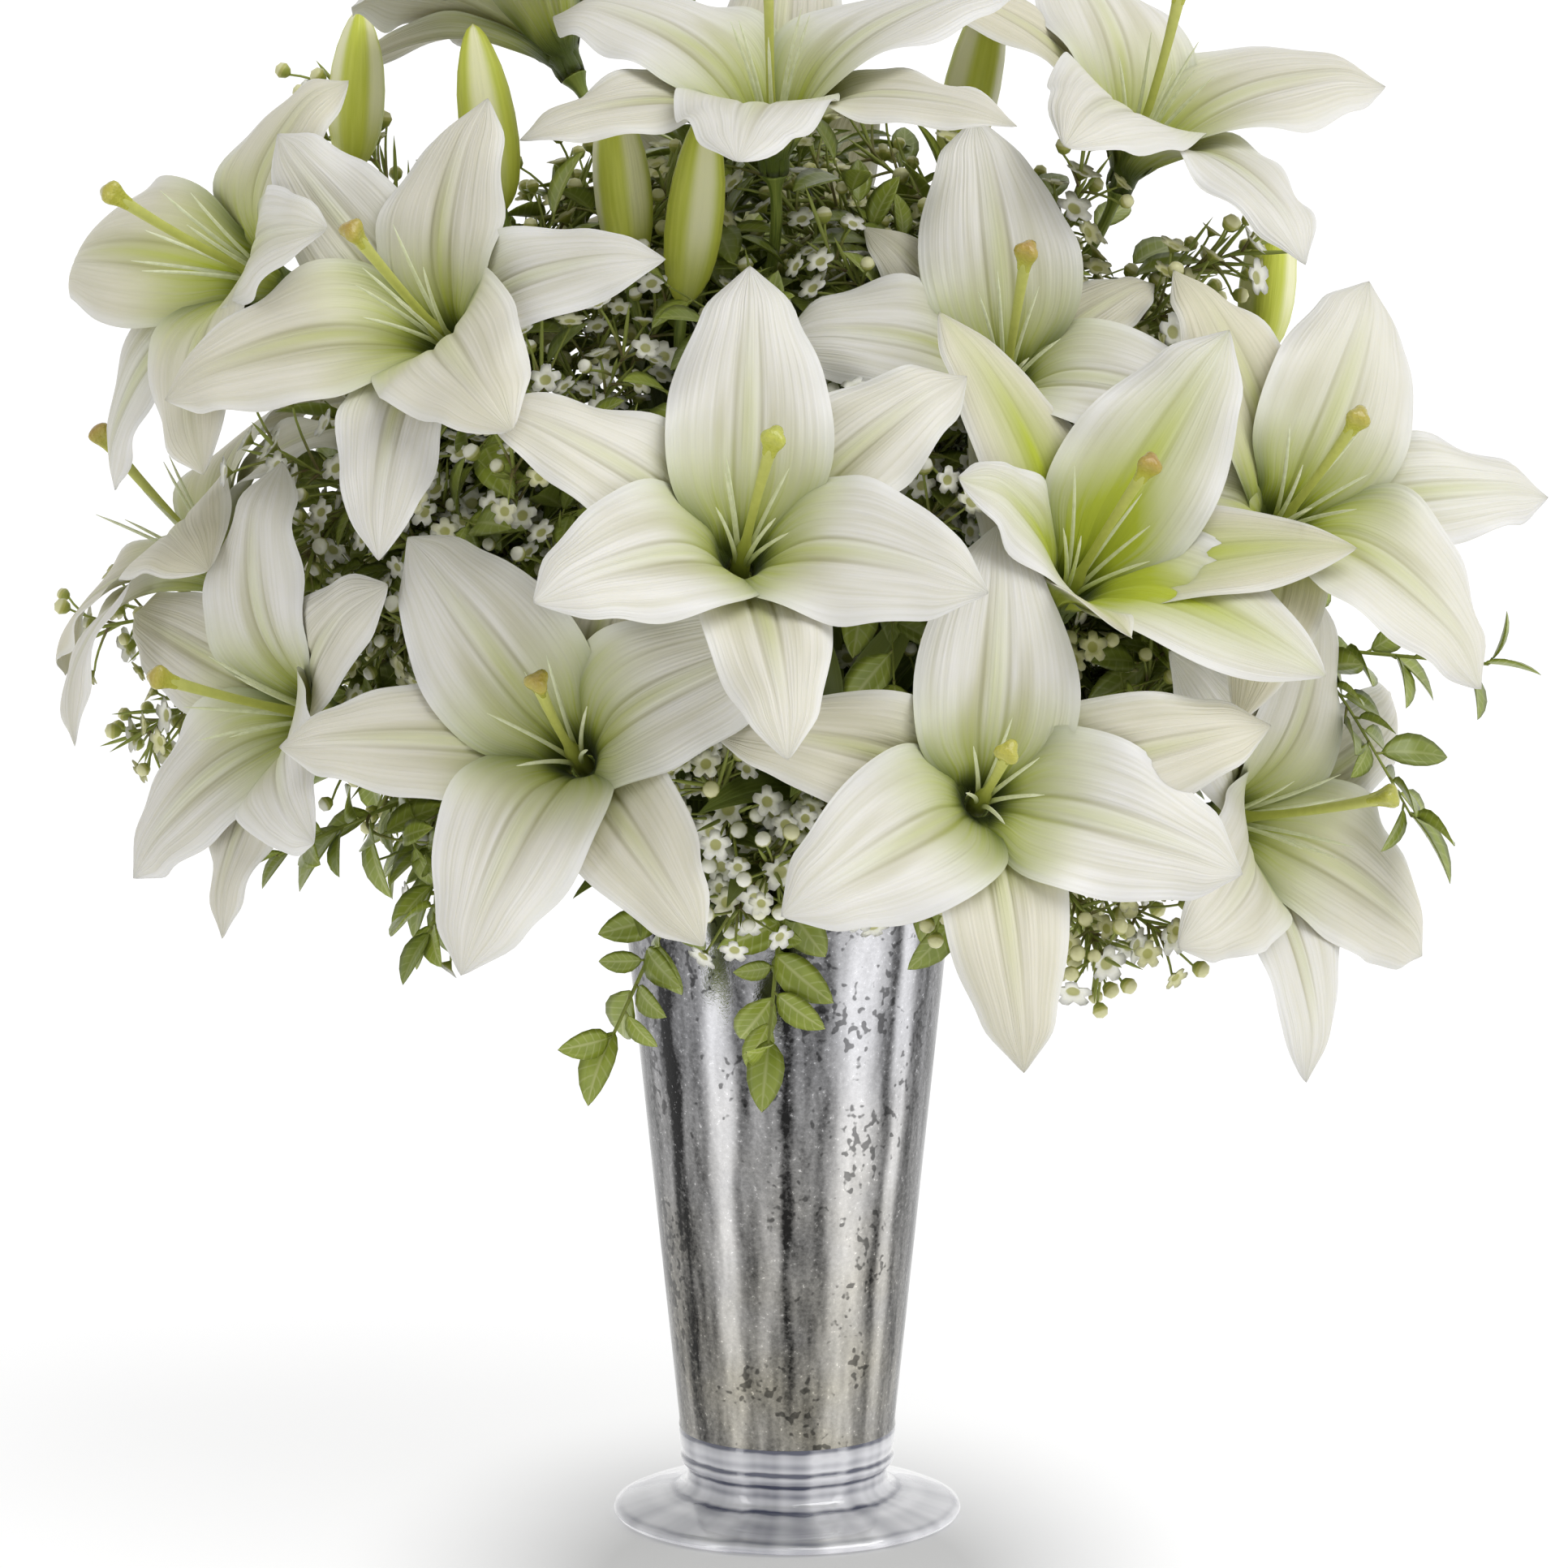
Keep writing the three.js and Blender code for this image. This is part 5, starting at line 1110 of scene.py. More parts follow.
# Some are riper than others, and those are orange-brown.
lot = add(tree, "ShaderNodeAttribute", attribute_name="lot").outputs["Fac"]
ripe = add(tree, "ShaderNodeMath", [lot, GOLDEN_SHARE], operation="MULTIPLY")
ripe = add(tree, "ShaderNodeMath", [ripe], operation="FRACT")
ripe = add(tree, "ShaderNodeMath", [ripe, share], operation="MULTIPLY")
tone = add(tree, "ShaderNodeMixRGB", [grains, linear("#a3aa38"), linear("#c6c552")])
tone = add(tree, "ShaderNodeMixRGB", [ripe, tone, linear("#a06f24")])
tree.links.new(tone.outputs[0], shader.inputs["Base Color"])
relief = add(tree, "ShaderNodeBump", {"Height": grains, "Strength": 0.8, "Distance": 0.0006})
tree.links.new(relief.outputs[0], shader.inputs["Normal"])


def meets_petal(points):
    """Whether a petal lies across a line through these points."""
    spots = [Vector(point) / 1000 for point in points]
    return any(
        surface.ray_cast(a, b - a, (b - a).length)[0] is not None
        for surface in opened for a, b in zip(spots, spots[1:])
    )


def style_point(at, seed, height):
    lean = (max(height, 0) / STYLE_LENGTH) ** 2
    point = at.base + height * at.axis + (6 + 4 * draw(seed)) * lean * at.up
    return point + 5 * draw(seed + 0.5) * lean * at.side


for name, stem in LILY_STEMS.items():
    styles, stigmas, filaments = [], [], []
    for bloom_name in stem["blooms"]:
        at, index = bloom_frame(bloom_name), BLOOM_NAMES.index(bloom_name)
        roll = BLOOMS[bloom_name]["roll"]
        for row, made in ((OVARY_AND_STYLE, styles), (STIGMA, stigmas)):
            line = stalk([style_point(at, 200 + index, height) for height, _ in row], [0], index)
            line["girth"] = np.array([radius for _, radius in row], float)
            line["young"] = 0 * line["girth"]
            made.append(line)
        for k in range(6):
            seed = 300 + 10 * index + k // 2 + (0 if k % 2 else 5)
            radial = radial_of(at, roll + (k // 2 + (0.5 if k % 2 else 0) + 0.2 * draw(seed)) * 120)
            length, reach = FILAMENT_LENGTH * (1 + 0.1 * draw(seed + 0.3)), 15 + 4 * draw(seed + 0.6)
            for shorter in (1, 0.85, 0.7, 0.55):
                ends = [
                    (9, 1.4),
                    (0.5 * shorter * length, 0.28 * shorter * reach),
                    (shorter * length, shorter * reach),
                ]
                controls = [at.base + height * at.axis + out * radial for height, out in ends]
                if not meets_petal(bezier(controls, 9)):
                    break
            line = stalk(bezier(controls, 9), [0.95, 0.75, 0.6, 0.42], seed)
            line["girth"][-1] = 0.1
            line["young"] = smooth(0, 0.5, line["share"]) * 0.9
            filaments.append(line)
    number = name[-2:]
    for kind, made, settings in (
        ("styles_", styles, {"Sides": 18, "Lobes": 3, "Lobe Depth": 0.05, "Finish": style_skin}),
        ("stigmas_", stigmas, {"Sides": 24, "Lobes": 3, "Lobe Depth": 0.2, "Finish": stigma_skin}),
        ("filaments_", filaments, {"Sides": 8, "Lobes": 1, "Lobe Depth": 0.0, "Finish": style_skin}),
    ):
        mesh = grown(kind, lines_mesh(kind, made), stems_tree, **settings)
        piece(kind + number, mesh, [name])

# ---- The lily leaves ----
# Long narrow leaves stand off the stems all round, folded along the middle and arching out, with
# shorter ones just under the blooms. They are satin, dark green, and lined from end to end.

LILY_LEAF_LENGTH = 92
LILY_LEAF_WIDTH = 15
LILY_LEAF_LEAN = 30
LILY_LEAF_ARCH = 60
LEAF_THICKNESS = 1
LEAF_FIT = 0.5  # millimetres: a candidate that fits no better than this isn't a leaf of the model
LEAVES_ALONG_STEM = 16
LEAVES_TRIED = 20  # the last few of them at the stem's end
ROOT_DEPTH = 1.5
GOLDEN_TURN = 137.5
TURNS = (0, 35, -35, 70, -70, 110, -110, 150, 180)

leaf_skin, tree, shader = finish("lily_leaf", Roughness=0.4, IOR=1.45, Coat_Weight=0.15, Coat_Roughness=0.3)
share, side, lot = (
    add(tree, "ShaderNodeAttribute", attribute_name=key).outputs["Fac"] for key in ("share", "across", "lot")
)
veining = add(tree, "ShaderNodeMath", [side, 9.0], operation="MULTIPLY")  # veins 0.8 mm apart
length = add(tree, "ShaderNodeMath", [share, 1.5], operation="MULTIPLY")
veining = add(tree, "ShaderNodeCombineXYZ", [veining, length, lot])
veins = add(tree, "ShaderNodeTexNoise", {"Vector": veining, "Scale": 1.0, "Detail": 1.0})
rank = add(tree, "ShaderNodeMath", [lot, GOLDEN_SHARE], operation="MULTIPLY")
rank = add(tree, "ShaderNodeMath", [rank], operation="FRACT")
tone = add(tree, "ShaderNodeMixRGB", [rank, linear("#536326"), linear("#86933f")])
vein_tone = add(tree, "ShaderNodeMapRange", [veins, 0.4, 0.7, 0.0, 0.5])
tone = add(tree, "ShaderNodeMixRGB", [vein_tone, tone, linear("#8a9450")])
flank = add(tree, "ShaderNodeMath", [side], operation="ABSOLUTE")
edge = add(tree, "ShaderNodeMapRange", [flank, 0.9, 1.0, 0.0, 0.5])
middle = add(tree, "ShaderNodeMapRange", [flank, 0.08, 0.0, 0.0, 0.6])
edge = add(tree, "ShaderNodeMath", [edge, middle], operation="MAXIMUM")
tone = add(tree, "ShaderNodeMixRGB", [edge, tone, linear("#a3b56a")])
tree.links.new(tone.outputs[0], shader.inputs["Base Color"])
relief = add(tree, "ShaderNodeBump", {"Height": veins, "Strength": 0.4, "Distance": 0.0005})
tree.links.new(relief.outputs[0], shader.inputs["Normal"])


def leaning(tangent, turn, degrees):
    """A way out from a stem at a turn round it, and the direction that leans that way."""
    up, side = across(tangent)
    radial = math.cos(math.radians(turn)) * up + math.sin(math.radians(turn)) * side
    return radial, math.cos(math.radians(degrees)) * tangent + math.sin(math.radians(degrees)) * radial


def on_path(points, share):
    """Where something roots on the model's straight stretches, and their direction there."""
    stretches = len(points) - 1
    i = min(int(share * stretches), stretches - 1)
    tangent = unit(points[i + 1] - points[i])
    return mix(points[i], points[i + 1], share * stretches - i) - ROOT_DEPTH * tangent, tangent


def leaf_spine(root, tangent, turn, length, width, arch, lean, shares):
    shares = np.asarray(shares, float)[:, None]
    radial, _ = leaning(tangent, turn, 0)
    angles = np.radians(lean + arch * shares * (np.arange(6) + 0.5) / 6)
    step = shares[:, 0] * length / 6
    centre = root + np.outer(np.cos(angles).sum(axis=1) * step, tangent)
    centre = centre + np.outer(np.sin(angles).sum(axis=1) * step, radial)
    angle = np.radians(lean + arch * shares)
    share = shares[:, 0]
    half = width / 2 * np.maximum(np.sin(math.pi * (0.12 + 0.88 * share)), 0) + 0.4 * (1 - share)
    return dict(
        centre=centre,
        normal=np.sin(angle) * tangent - np.cos(angle) * radial,
        widthways=np.broadcast_to(np.cross(tangent, radial), centre.shape),
        half=half,
        share=share,
        fold=0.3 * half,
    )


# The surface that leaves and sprays keep clear of.
points, faces = [], []
for made in bpy.context.scene.objects:
    if made.name.startswith(("petals_", "stem_", "buds_", "styles_", "stigmas_", "vase_")):
        faces += [[len(points) + i for i in face.vertices] for face in made.data.polygons]
        points += [tuple(corner.co) for corner in made.data.vertices]
standing = [BVHTree.FromPolygons(points, faces)]


def has_room(points, reach):
    """Whether a line through these points, in millimetres, stays in the model's box, with nothing across
    it and nothing within reach of its points."""
    spots = [Vector(point) / 1000 for point in points]
    for before, spot in zip([spots[0], *spots], spots):
        if any(not cad_low[i] <= spot[i] <= cad_high[i] for i in range(3)):
            return False
        way = spot - before
        for surface in standing:
            if surface.find_nearest(spot, reach / 1000)[0] is not None:
                return False
            if way.length and surface.ray_cast(before, way, way.length)[0] is not None:
                return False
    return True


LEAF_SHARES = np.concatenate([np.linspace(0, 0.94, 13), [0.98, 1]])
for number, (name, stem) in enumerate(LILY_STEMS.items()):
    corners = corners_of(name)
    controls = stem_controls(stem["mouth"], stem["apex"])
    path, smooth_path = bezier(controls, 4), bezier(controls, 101)
    spines = []
    for i, share in enumerate((0.4, 0.8)):
        root, tangent = on_path(path, share)
        seed = 900 + 10 * number + i
        length = LILY_LEAF_LENGTH * (1 + 0.15 * draw(seed))
        arch = LILY_LEAF_ARCH + 20 * draw(seed + 0.5)
        found = []
        for turn in TURNS:
            sizes = (GOLDEN_TURN * (i + number) + turn, length, LILY_LEAF_WIDTH, arch, LILY_LEAF_LEAN)
            spine = leaf_spine(root, tangent, *sizes, (0.5, 1))
            lift = 0.3 * spine["half"][0] + LEAF_THICKNESS / 2
            edge = spine["half"][0] * spine["widthways"][0]
            probes = [spine["centre"][0] + v * edge + lift * spine["normal"][0] for v in (-1, 1)]
            probes.append(spine["centre"][1] + LEAF_THICKNESS / 2 * spine["normal"][1])
            found.append((misfit(corners, probes), sizes))
        gap, sizes = min(found)
        if gap < LEAF_FIT:
            spines.append(leaf_spine(root, tangent, *sizes, LEAF_SHARES) | {"lot": seed})
    for i in range(LEAVES_TRIED):
        seed = 2000 + 40 * number + i
        share = 0.08 + 0.92 * (i + 0.5 * draw(seed)) / LEAVES_ALONG_STEM if i < LEAVES_ALONG_STEM else 1
        at = min(int(share * 100), 99)
        tangent = unit(smooth_path[at + 1] - smooth_path[at])
        root = smooth_path[at] - ROOT_DEPTH * tangent
        length = mix(95, 60, share) * (1 + 0.2 * draw(seed + 0.2))
        for turn in TURNS:
            sizes = (
                GOLDEN_TURN * (i + 0.4) + turn, length, mix(16, 13, share), 50 + 30 * draw(seed + 0.4),
                32 + 12 * draw(seed + 0.6),
            )
            spine = leaf_spine(root, tangent, *sizes, LEAF_SHARES)
            edge = spine["half"][:, None] * spine["widthways"]
            rims = [(spine["centre"] + edge)[:3:-1], (spine["centre"] - edge)[4:]]
            tries = np.concatenate([spine["centre"][4:], *rims])
            if has_room(tries, 2.5):
                spines.append(spine | {"lot": seed})
                break
    for spine in spines:
        share = spine["share"]
        spine["lot"] = np.full(len(share), float(spine["lot"]))
        spine["thickness"] = 0.8 * np.minimum(1, (1.02 - share) * 8)
        spine["thickness"][-1] = 0
        for key in ("channel", "ruffle", "phase", "frill", "roll"):
            spine[key] = 0 * share
        spine["groove"] = 0.25 * np.sin(math.pi * share)
    mesh = grown("leaves", lines_mesh("leaves", spines), blades, **{"Points Across": 9, "Finish": leaf_skin})
    leaves = piece("lily_leaves_" + name[-2:], mesh, [name])
    bpy.context.view_layer.update()
    standing.append(BVHTree.FromObject(leaves, bpy.context.evaluated_depsgraph_get()))

# ---- Sprays: what waxflower and huckleberry share ----
# Both are thin twigs that stand between the lilies and bear small things all round. Each spray
# follows the path of its solid, and has more side twigs than that has.

SPRAYS = {
    "waxflower_01": dict(mouth=(-42, -14), tips=[(-176, -24, 450), (-146, 4, 478)]),
    "waxflower_02": dict(mouth=(-36, -26), tips=[(-161, -62, 363), (-110, -76, 350)]),
    "waxflower_03": dict(mouth=(-10, -44), tips=[(-18, -94, 252), (-4, -102, 236)]),
    "waxflower_04": dict(mouth=(17, -28), tips=[(50, -62, 363), (40, -74, 345)]),
    "waxflower_05": dict(mouth=(32, 4), tips=[(93, -50, 448), (146, -42, 427), (124, -60, 410)]),
    "waxflower_06": dict(mouth=(36, -30), tips=[(117, -118, 218), (98, -128, 212)]),
    "waxflower_07": dict(mouth=(-46, 4), tips=[(-230, 26, 298), (-216, 30, 262)]),
    "waxflower_08": dict(mouth=(-14, 42), tips=[(-52, 150, 336), (-20, 130, 300)]),
    "waxflower_09": dict(mouth=(40, 20), tips=[(172, 50, 330), (150, 80, 380)]),
    "huckleberry_01": dict(mouth=(-28, -38), tips=[(-56, -80, 178)], bow=(-42, -66, 262)),
    "huckleberry_02": dict(mouth=(4, -47), tips=[(-6, -84, 176)], bow=(0, -68, 262)),
    "huckleberry_03": dict(mouth=(22, -41), tips=[(58, -76, 208)], bow=(36, -64, 250)),
    "huckleberry_04": dict(mouth=(-45, -6), tips=[(-162, -88, 238), (-112, -98, 216)]),
    "huckleberry_05": dict(mouth=(46, -4), tips=[(225, -62, 296), (200, -70, 248)]),
    "huckleberry_06": dict(mouth=(-4, 24), tips=[(-32, 0, 504)]),
    "huckleberry_07": dict(mouth=(-32, -4), tips=[(-108, -44, 340)]),
    "huckleberry_08": dict(mouth=(10, -2), tips=[(37, -42, 403)]),
    "huckleberry_09": dict(mouth=(38, 10), tips=[(150, 72, 250)]),
    "huckleberry_10": dict(mouth=(6, 44), tips=[(40, 150, 300), (-20, 146, 250)]),
    "huckleberry_11": dict(mouth=(-32, 32), tips=[(-150, 96, 240)]),
}
SPRAY_SEEDS = {name: 500 + 20 * number for number, name in enumerate(SPRAYS)}
SPRAY_FIT = 0.3  # millimetres: a candidate that fits no better than this isn't of the model
SPRAY_RADIUS = 1.2
SPRAY_STEPS = 4
SIDE_STEM_SHARES = (0.5, 0.36)
BOUQUET_MIDDLE = 270
BOWS = [
    np.array((x, y, z))
    for x in (0, 18, -18, 36, -36, 60, -60)
    for y in (0, 18, -18, 36, -36, 60, -60)
    for z in (0, 25, -25)
]
BOWS.sort(key=np.linalg.norm)


def outwards(point):
    """The way out of the bouquet at a point, and a little up."""
    return unit((point[0], point[1], (point[2] - BOUQUET_MIDDLE) * 0.6)) + np.array((0, 0, 0.4))


def ring_corners(points, radii, sides=4):
    """The corners of the rings with which the model's source runs a tube through points."""
    corners, first = [], None
    for i, point in enumerate(points):
        tangent = unit(points[min(i + 1, len(points) - 1)] - points[max(i - 1, 0)])
        first = across(tangent)[0] if first is None else unit(first - (first @ tangent) * tangent)
        second = np.cross(tangent, first)
        for j in range(sides):
            angle = 2 * math.pi * j / sides
            corners.append(point + radii[i] * (math.cos(angle) * first + math.sin(angle) * second))
    return np.array(corners)


def path_as_built(corners, start, lean, tip, steps, bow, foot, radius):
    """The control points of a twig's curve, with the bow aside that its solid shows."""
    tip = np.array(tip, float)
    middle = start + 0.55 * np.linalg.norm(tip - start) * lean if bow is None else np.array(bow, float)
    found = []
    for number, aside in enumerate(BOWS):
        towards = middle + aside
        controls = [start, mix(start, towards, 0.7), mix(tip, towards, 0.6), tip]
        points = bezier(controls, steps + 1)
        if foot is not None:
            points = np.concatenate([[foot], points])
        radii = np.linspace(radius, radius / 2, len(points))
        inner = ring_corners(points, radii)[4:-4]
        found.append((misfit(corners, inner), number, controls))
    return min(found)[2]


def spray_as_built(name):
    """Each twig of a spray: its control points, its corners on the solid, and its radius."""
    spray, corners = SPRAYS[name], corners_of(name)
    start = stem_point(spray["mouth"], MOUTH_LEVEL)
    lean = unit(start - stem_point(spray["mouth"], VASE_FLOOR))
    foot = stem_point(spray["mouth"], VASE_FLOOR + PIECE_GAP)
    controls = path_as_built(
        corners, start, lean, spray["tips"][0], SPRAY_STEPS, spray.get("bow"), foot, SPRAY_RADIUS
    )
    twigs = [(controls, bezier(controls, SPRAY_STEPS + 1), SPRAY_RADIUS)]
    for i, tip in enumerate(spray["tips"][1:]):
        root, tangent = on_path(twigs[0][1], SIDE_STEM_SHARES[i])
        side = path_as_built(corners, root, tangent, tip, SPRAY_STEPS - 1, None, None, SPRAY_RADIUS * 0.7)
        twigs.append((side, bezier(side, SPRAY_STEPS), SPRAY_RADIUS * 0.7))
    return twigs, foot, corners


def bent_line(points, count, rounding):
    """Straight stretches with their corners rounded off."""
    fine = [mix(a, b, t) for a, b in zip(points, points[1:]) for t in np.arange(12) / 12] + [points[-1]]
    fine = np.array(fine)
    for _ in range(rounding):
        fine[1:-1] = (fine[:-2] + 2 * fine[1:-1] + fine[2:]) / 4
    share = np.linspace(0, len(fine) - 1, count)
    return np.stack([np.interp(share, np.arange(len(fine)), fine[:, axis]) for axis in range(3)], axis=1)


def twig_line(controls, corners, count=41):
    """A twig's middle line: its true curve where that has room, or else its solid's stretches, rounded,
    and pushed aside or cut short where petals press on them."""
    tries = [bezier(controls, count), *(bent_line(corners, count, rounding) for rounding in (10, 3, 0))]
    swell = np.sin(math.pi * np.linspace(0, 1, count))[:, None]
    ways = np.concatenate([np.eye(3), -np.eye(3)])
    tries += [tries[1] + push * swell * way for push in (3, 6, 10, 15) for way in ways]
    for line in tries:
        if has_room(line[4:], 1.4):
            return line
    share = np.linspace(0, 1, count)
    for kept in (0.97, 0.93, 0.88, 0.82, 0.75):
        line = np.stack([np.interp(kept * share, share, tries[1][:, axis]) for axis in range(3)], axis=1)
        if has_room(line[4:], 1.2):
            return line
    return tries[1]


# The heart of the bouquet, behind the blooms, is full. Places spread evenly over it are each reached
# by a side twig of whichever spray passes best below.
HEART_MIDDLE = np.array((0, -6, 322))
HEART_REACH = np.array((168, 128, 142))
HEART_PLACES = 460
SIDE_TWIG_SPAN = (25, 130)  # how short and how long a side twig may be
GOLDEN_ANGLE = math.radians(GOLDEN_TURN)


def curve_at(line, share):
    """A point of a line, and the line's direction there."""
    at = share * (len(line) - 1)
    i = min(int(at), len(line) - 2)
    return mix(line[i], line[i + 1], at - i), unit(line[i + 1] - line[i])


built = {name: spray_as_built(name) for name in SPRAYS}
twig_lines = {name: [twig_line(*twig[:2]) for twig in twigs] for name, (twigs, _, _) in built.items()}
side_twigs = {name: [] for name in SPRAYS}
for i in range(HEART_PLACES):
    level = 1 - 1.75 * (i + 0.5) / HEART_PLACES
    flat = math.sqrt(1 - level * level)
    way = np.array((flat * math.cos(i * GOLDEN_ANGLE), flat * math.sin(i * GOLDEN_ANGLE), level))
    tip = HEART_MIDDLE + (0.92 + 0.12 * draw(7000 + i)) * HEART_REACH * way
    kind = "waxflower" if i % 5 in (0, 2) else "huckleberry"
    roots = []
    for name, (line, *_) in twig_lines.items():
        if not name.startswith(kind) or (kind == "huckleberry" and int(name[-2:]) <= 3):
            continue
        for share in np.linspace(0.1, 0.95, 9):
            root, tangent = curve_at(line, share)
            reach = np.linalg.norm(tip - root)
            if root[2] > VASE_HEIGHT - 4 and SIDE_TWIG_SPAN[0] < reach < SIDE_TWIG_SPAN[1]:
                effort = reach * (1.6 - unit(tip - root) @ tangent)
                roots.append((effort, name, tuple(root), tuple(tangent), reach))
    for _, name, root, tangent, reach in sorted(roots)[:10]:
        root, tangent = np.array(root), np.array(tangent)
        line = bezier([root, root + 0.4 * reach * unit(tangent + 0.6 * unit(tip - root)), tip], 21)
        if has_room(line[2:], 1.3):
            side_twigs[name].append(line)
            break


def bearing_lines(name):
    """A spray's twigs: the line of each, its path on the solid, if it has one, and its radius."""
    own = [(line, path, radius) for line, (_, path, radius) in zip(twig_lines[name], built[name][0])]
    return own + [(line, None, SPRAY_RADIUS * 0.5) for line in side_twigs[name]]


# Sprigs: one small piece set on every place, turned and sized as that place says.
sprigs_tree = bpy.data.node_groups.new("sprigs_on_places", "GeometryNodeTree")
tree = sprigs_tree
for socket, kind in (("Places", "Geometry"), ("Sprig", "Object"), ("Finish", "Material")):
    tree.interface.new_socket(socket, in_out="INPUT", socket_type="NodeSocket" + kind)
tree.interface.new_socket("Sprigs", in_out="OUTPUT", socket_type="NodeSocketGeometry")
given = add(tree, "NodeGroupInput").outputs
sprig = add(tree, "GeometryNodeObjectInfo", [given["Sprig"]]).outputs["Geometry"]
turn = add(tree, "GeometryNodeInputNamedAttribute", {"Name": "turn"}, data_type="FLOAT_VECTOR")
turn = add(tree, "FunctionNodeEulerToRotation", [turn])
size = add(tree, "GeometryNodeInputNamedAttribute", {"Name": "size"}, data_type="FLOAT")
set_out = add(
    tree, "GeometryNodeInstanceOnPoints",
    {"Points": given["Places"], "Instance": sprig, "Rotation": turn, "Scale": size},
)
set_out = add(tree, "GeometryNodeRealizeInstances", [set_out])
set_out = add(tree, "GeometryNodeSetMaterial", {"Geometry": set_out, "Material": given["Finish"]})
add(tree, "NodeGroupOutput", [set_out])


def place_at(point, x, y, z, size, **more):
    """A place for a sprig, whose own axes go to x, y and z."""
    turn = Matrix((x, y, z)).transposed().to_euler()
    more = {key: [value] for key, value in more.items()}
    return dict(centre=[point], turn=[tuple(turn)], size=[size]) | more


def sprig_of(name, rows):
    """A small closed shape to set out, from rings in millimetres, each with its share of the way out."""
    points, faces, shares, numbered = [], [], [], []
    for share, row in rows:
        numbered.append([len(points) + j for j in range(len(row))])
        points += [tuple(np.array(p) / 1000) for p in row]
        shares += [share] * len(row)
    for a, b in zip(numbered, numbered[1:]):
        for j in range(max(len(a), len(b))):
            quad = [a[j % len(a)], a[(j + 1) % len(a)], b[(j + 1) % len(b)], b[j % len(b)]]
            faces.append(list(dict.fromkeys(quad)))
    mesh = bpy.data.meshes.new(name)
    mesh.from_pydata(points, [], faces)
    mesh.shade_smooth()
    mesh.attributes.new("share", "FLOAT", "POINT").data.foreach_set("value", shares)
    made = bpy.data.objects.new(name, mesh)
    bpy.context.scene.collection.objects.link(made)
    return made


# ---- The waxflower ----
# Thin brown-green twigs branch again and again, and each twig ends in a waxy white floret of five
# round petals on a green cup, or in a round bud. Needle leaves stand along the twigs.

FLORET_RADIUS = 6.5
FLORET_CUP = 2.6
FLORET_SIDES = 20
CLUSTER = (1, 0.94, 0.85)
IN_BUD = ("waxflower_01", "waxflower_05", "waxflower_06", "waxflower_07")  # the sprays that are still in bud


def floret_ring(radius, height, lobed):
    ring = []
    for j in range(FLORET_SIDES):
        angle = 2 * math.pi * j / FLORET_SIDES
        notch = 1 - lobed * (1 - abs(math.cos(2.5 * angle)) ** 0.5)
        ring.append((radius * notch * math.cos(angle), radius * notch * math.sin(angle), height))
    return ring


floret = sprig_of(
    "floret",
    [
        (-1, [(0, 0, -FLORET_CUP - 0.6)]),
        (-0.1, floret_ring(2.5, -0.3, 0)),
        (1, floret_ring(FLORET_RADIUS, 1.3, 0.42)),
        (0.45, floret_ring(2.7, 0.55, 0.1)),
        (0.2, floret_ring(2.0, 0.1, 0)),
        (0, [(0, 0, 0.5)]),
    ],
)
wax_bud = sprig_of(
    "wax_bud",
    [
        (-1, [(0, 0, -2.9)]),
        *(
            (share, [(radius * math.cos(a), radius * math.sin(a), height)
                     for a in np.arange(10) * math.pi / 5])
            for share, radius, height in ((-0.5, 1.7, -1.8), (0.1, 2.6, 0.1), (0.7, 1.9, 1.9))
        ),
        (1, [(0, 0, 2.7)]),
    ],
)

# Waxy white petals, green at the heart and on the cup below.
wax_petal, tree, shader = finish(
    "waxflower_petal", Roughness=0.35, IOR=1.45, Subsurface_Weight=0.2,
    Subsurface_Radius=(1.0, 1.0, 0.7), Subsurface_Scale=0.001,
)
share = add(tree, "ShaderNodeAttribute", attribute_name="share").outputs["Fac"]
lot = add(tree, "ShaderNodeAttribute", attribute_name="lot").outputs["Fac"]
place = add(tree, "ShaderNodeTexCoord").outputs["Object"]
mottle = add(tree, "ShaderNodeTexNoise", {"Vector": place, "Scale": 350.0, "Detail": 2.0})
young = add(tree, "ShaderNodeMapRange", [lot, 0.5, 1.0, 0.0, 0.75])
white = add(tree, "ShaderNodeMixRGB", [mottle, linear("#f8f7f0"), linear("#e8e8d6")])
white = add(tree, "ShaderNodeMixRGB", [young, white, linear("#ccca84")])
heart = add(tree, "ShaderNodeMapRange", [share, 0.42, 0.15, 0.0, 0.85], interpolation_type="SMOOTHSTEP")
tone = add(tree, "ShaderNodeMixRGB", [heart, white, linear("#a8a84c")])
green = add(tree, "ShaderNodeMixRGB", [mottle, linear("#848e36"), linear("#a6aa54")])
below = add(tree, "ShaderNodeMapRange", [share, -0.05, -0.1, 0.0, 1.0])
tone = add(tree, "ShaderNodeMixRGB", [below, tone, green])
tree.links.new(tone.outputs[0], shader.inputs["Base Color"])
relief = add(tree, "ShaderNodeBump", {"Height": mottle, "Strength": 0.5, "Distance": 0.0004})
tree.links.new(relief.outputs[0], shader.inputs["Normal"])

# Twigs are thin and woody, brown-green below and fresh green at their ends.
twig_skin, tree, shader = finish("twig", Roughness=0.6, IOR=1.45)
around = add(tree, "ShaderNodeAttribute", attribute_name="round").outputs["Vector"]
share = add(tree, "ShaderNodeAttribute", attribute_name="share").outputs["Fac"]
place = add(tree, "ShaderNodeTexCoord").outputs["Object"]
bark = add(tree, "ShaderNodeTexNoise", {"Vector": place, "Scale": 260.0, "Detail": 3.0})
old = add(tree, "ShaderNodeMath", [bark, share], operation="ADD")
old = add(tree, "ShaderNodeMapRange", [old, 1.1, 0.5, 0.0, 1.0])
tone = add(tree, "ShaderNodeMixRGB", [old, linear("#8a9444"), linear("#6c5f3b")])
tree.links.new(tone.outputs[0], shader.inputs["Base Color"])
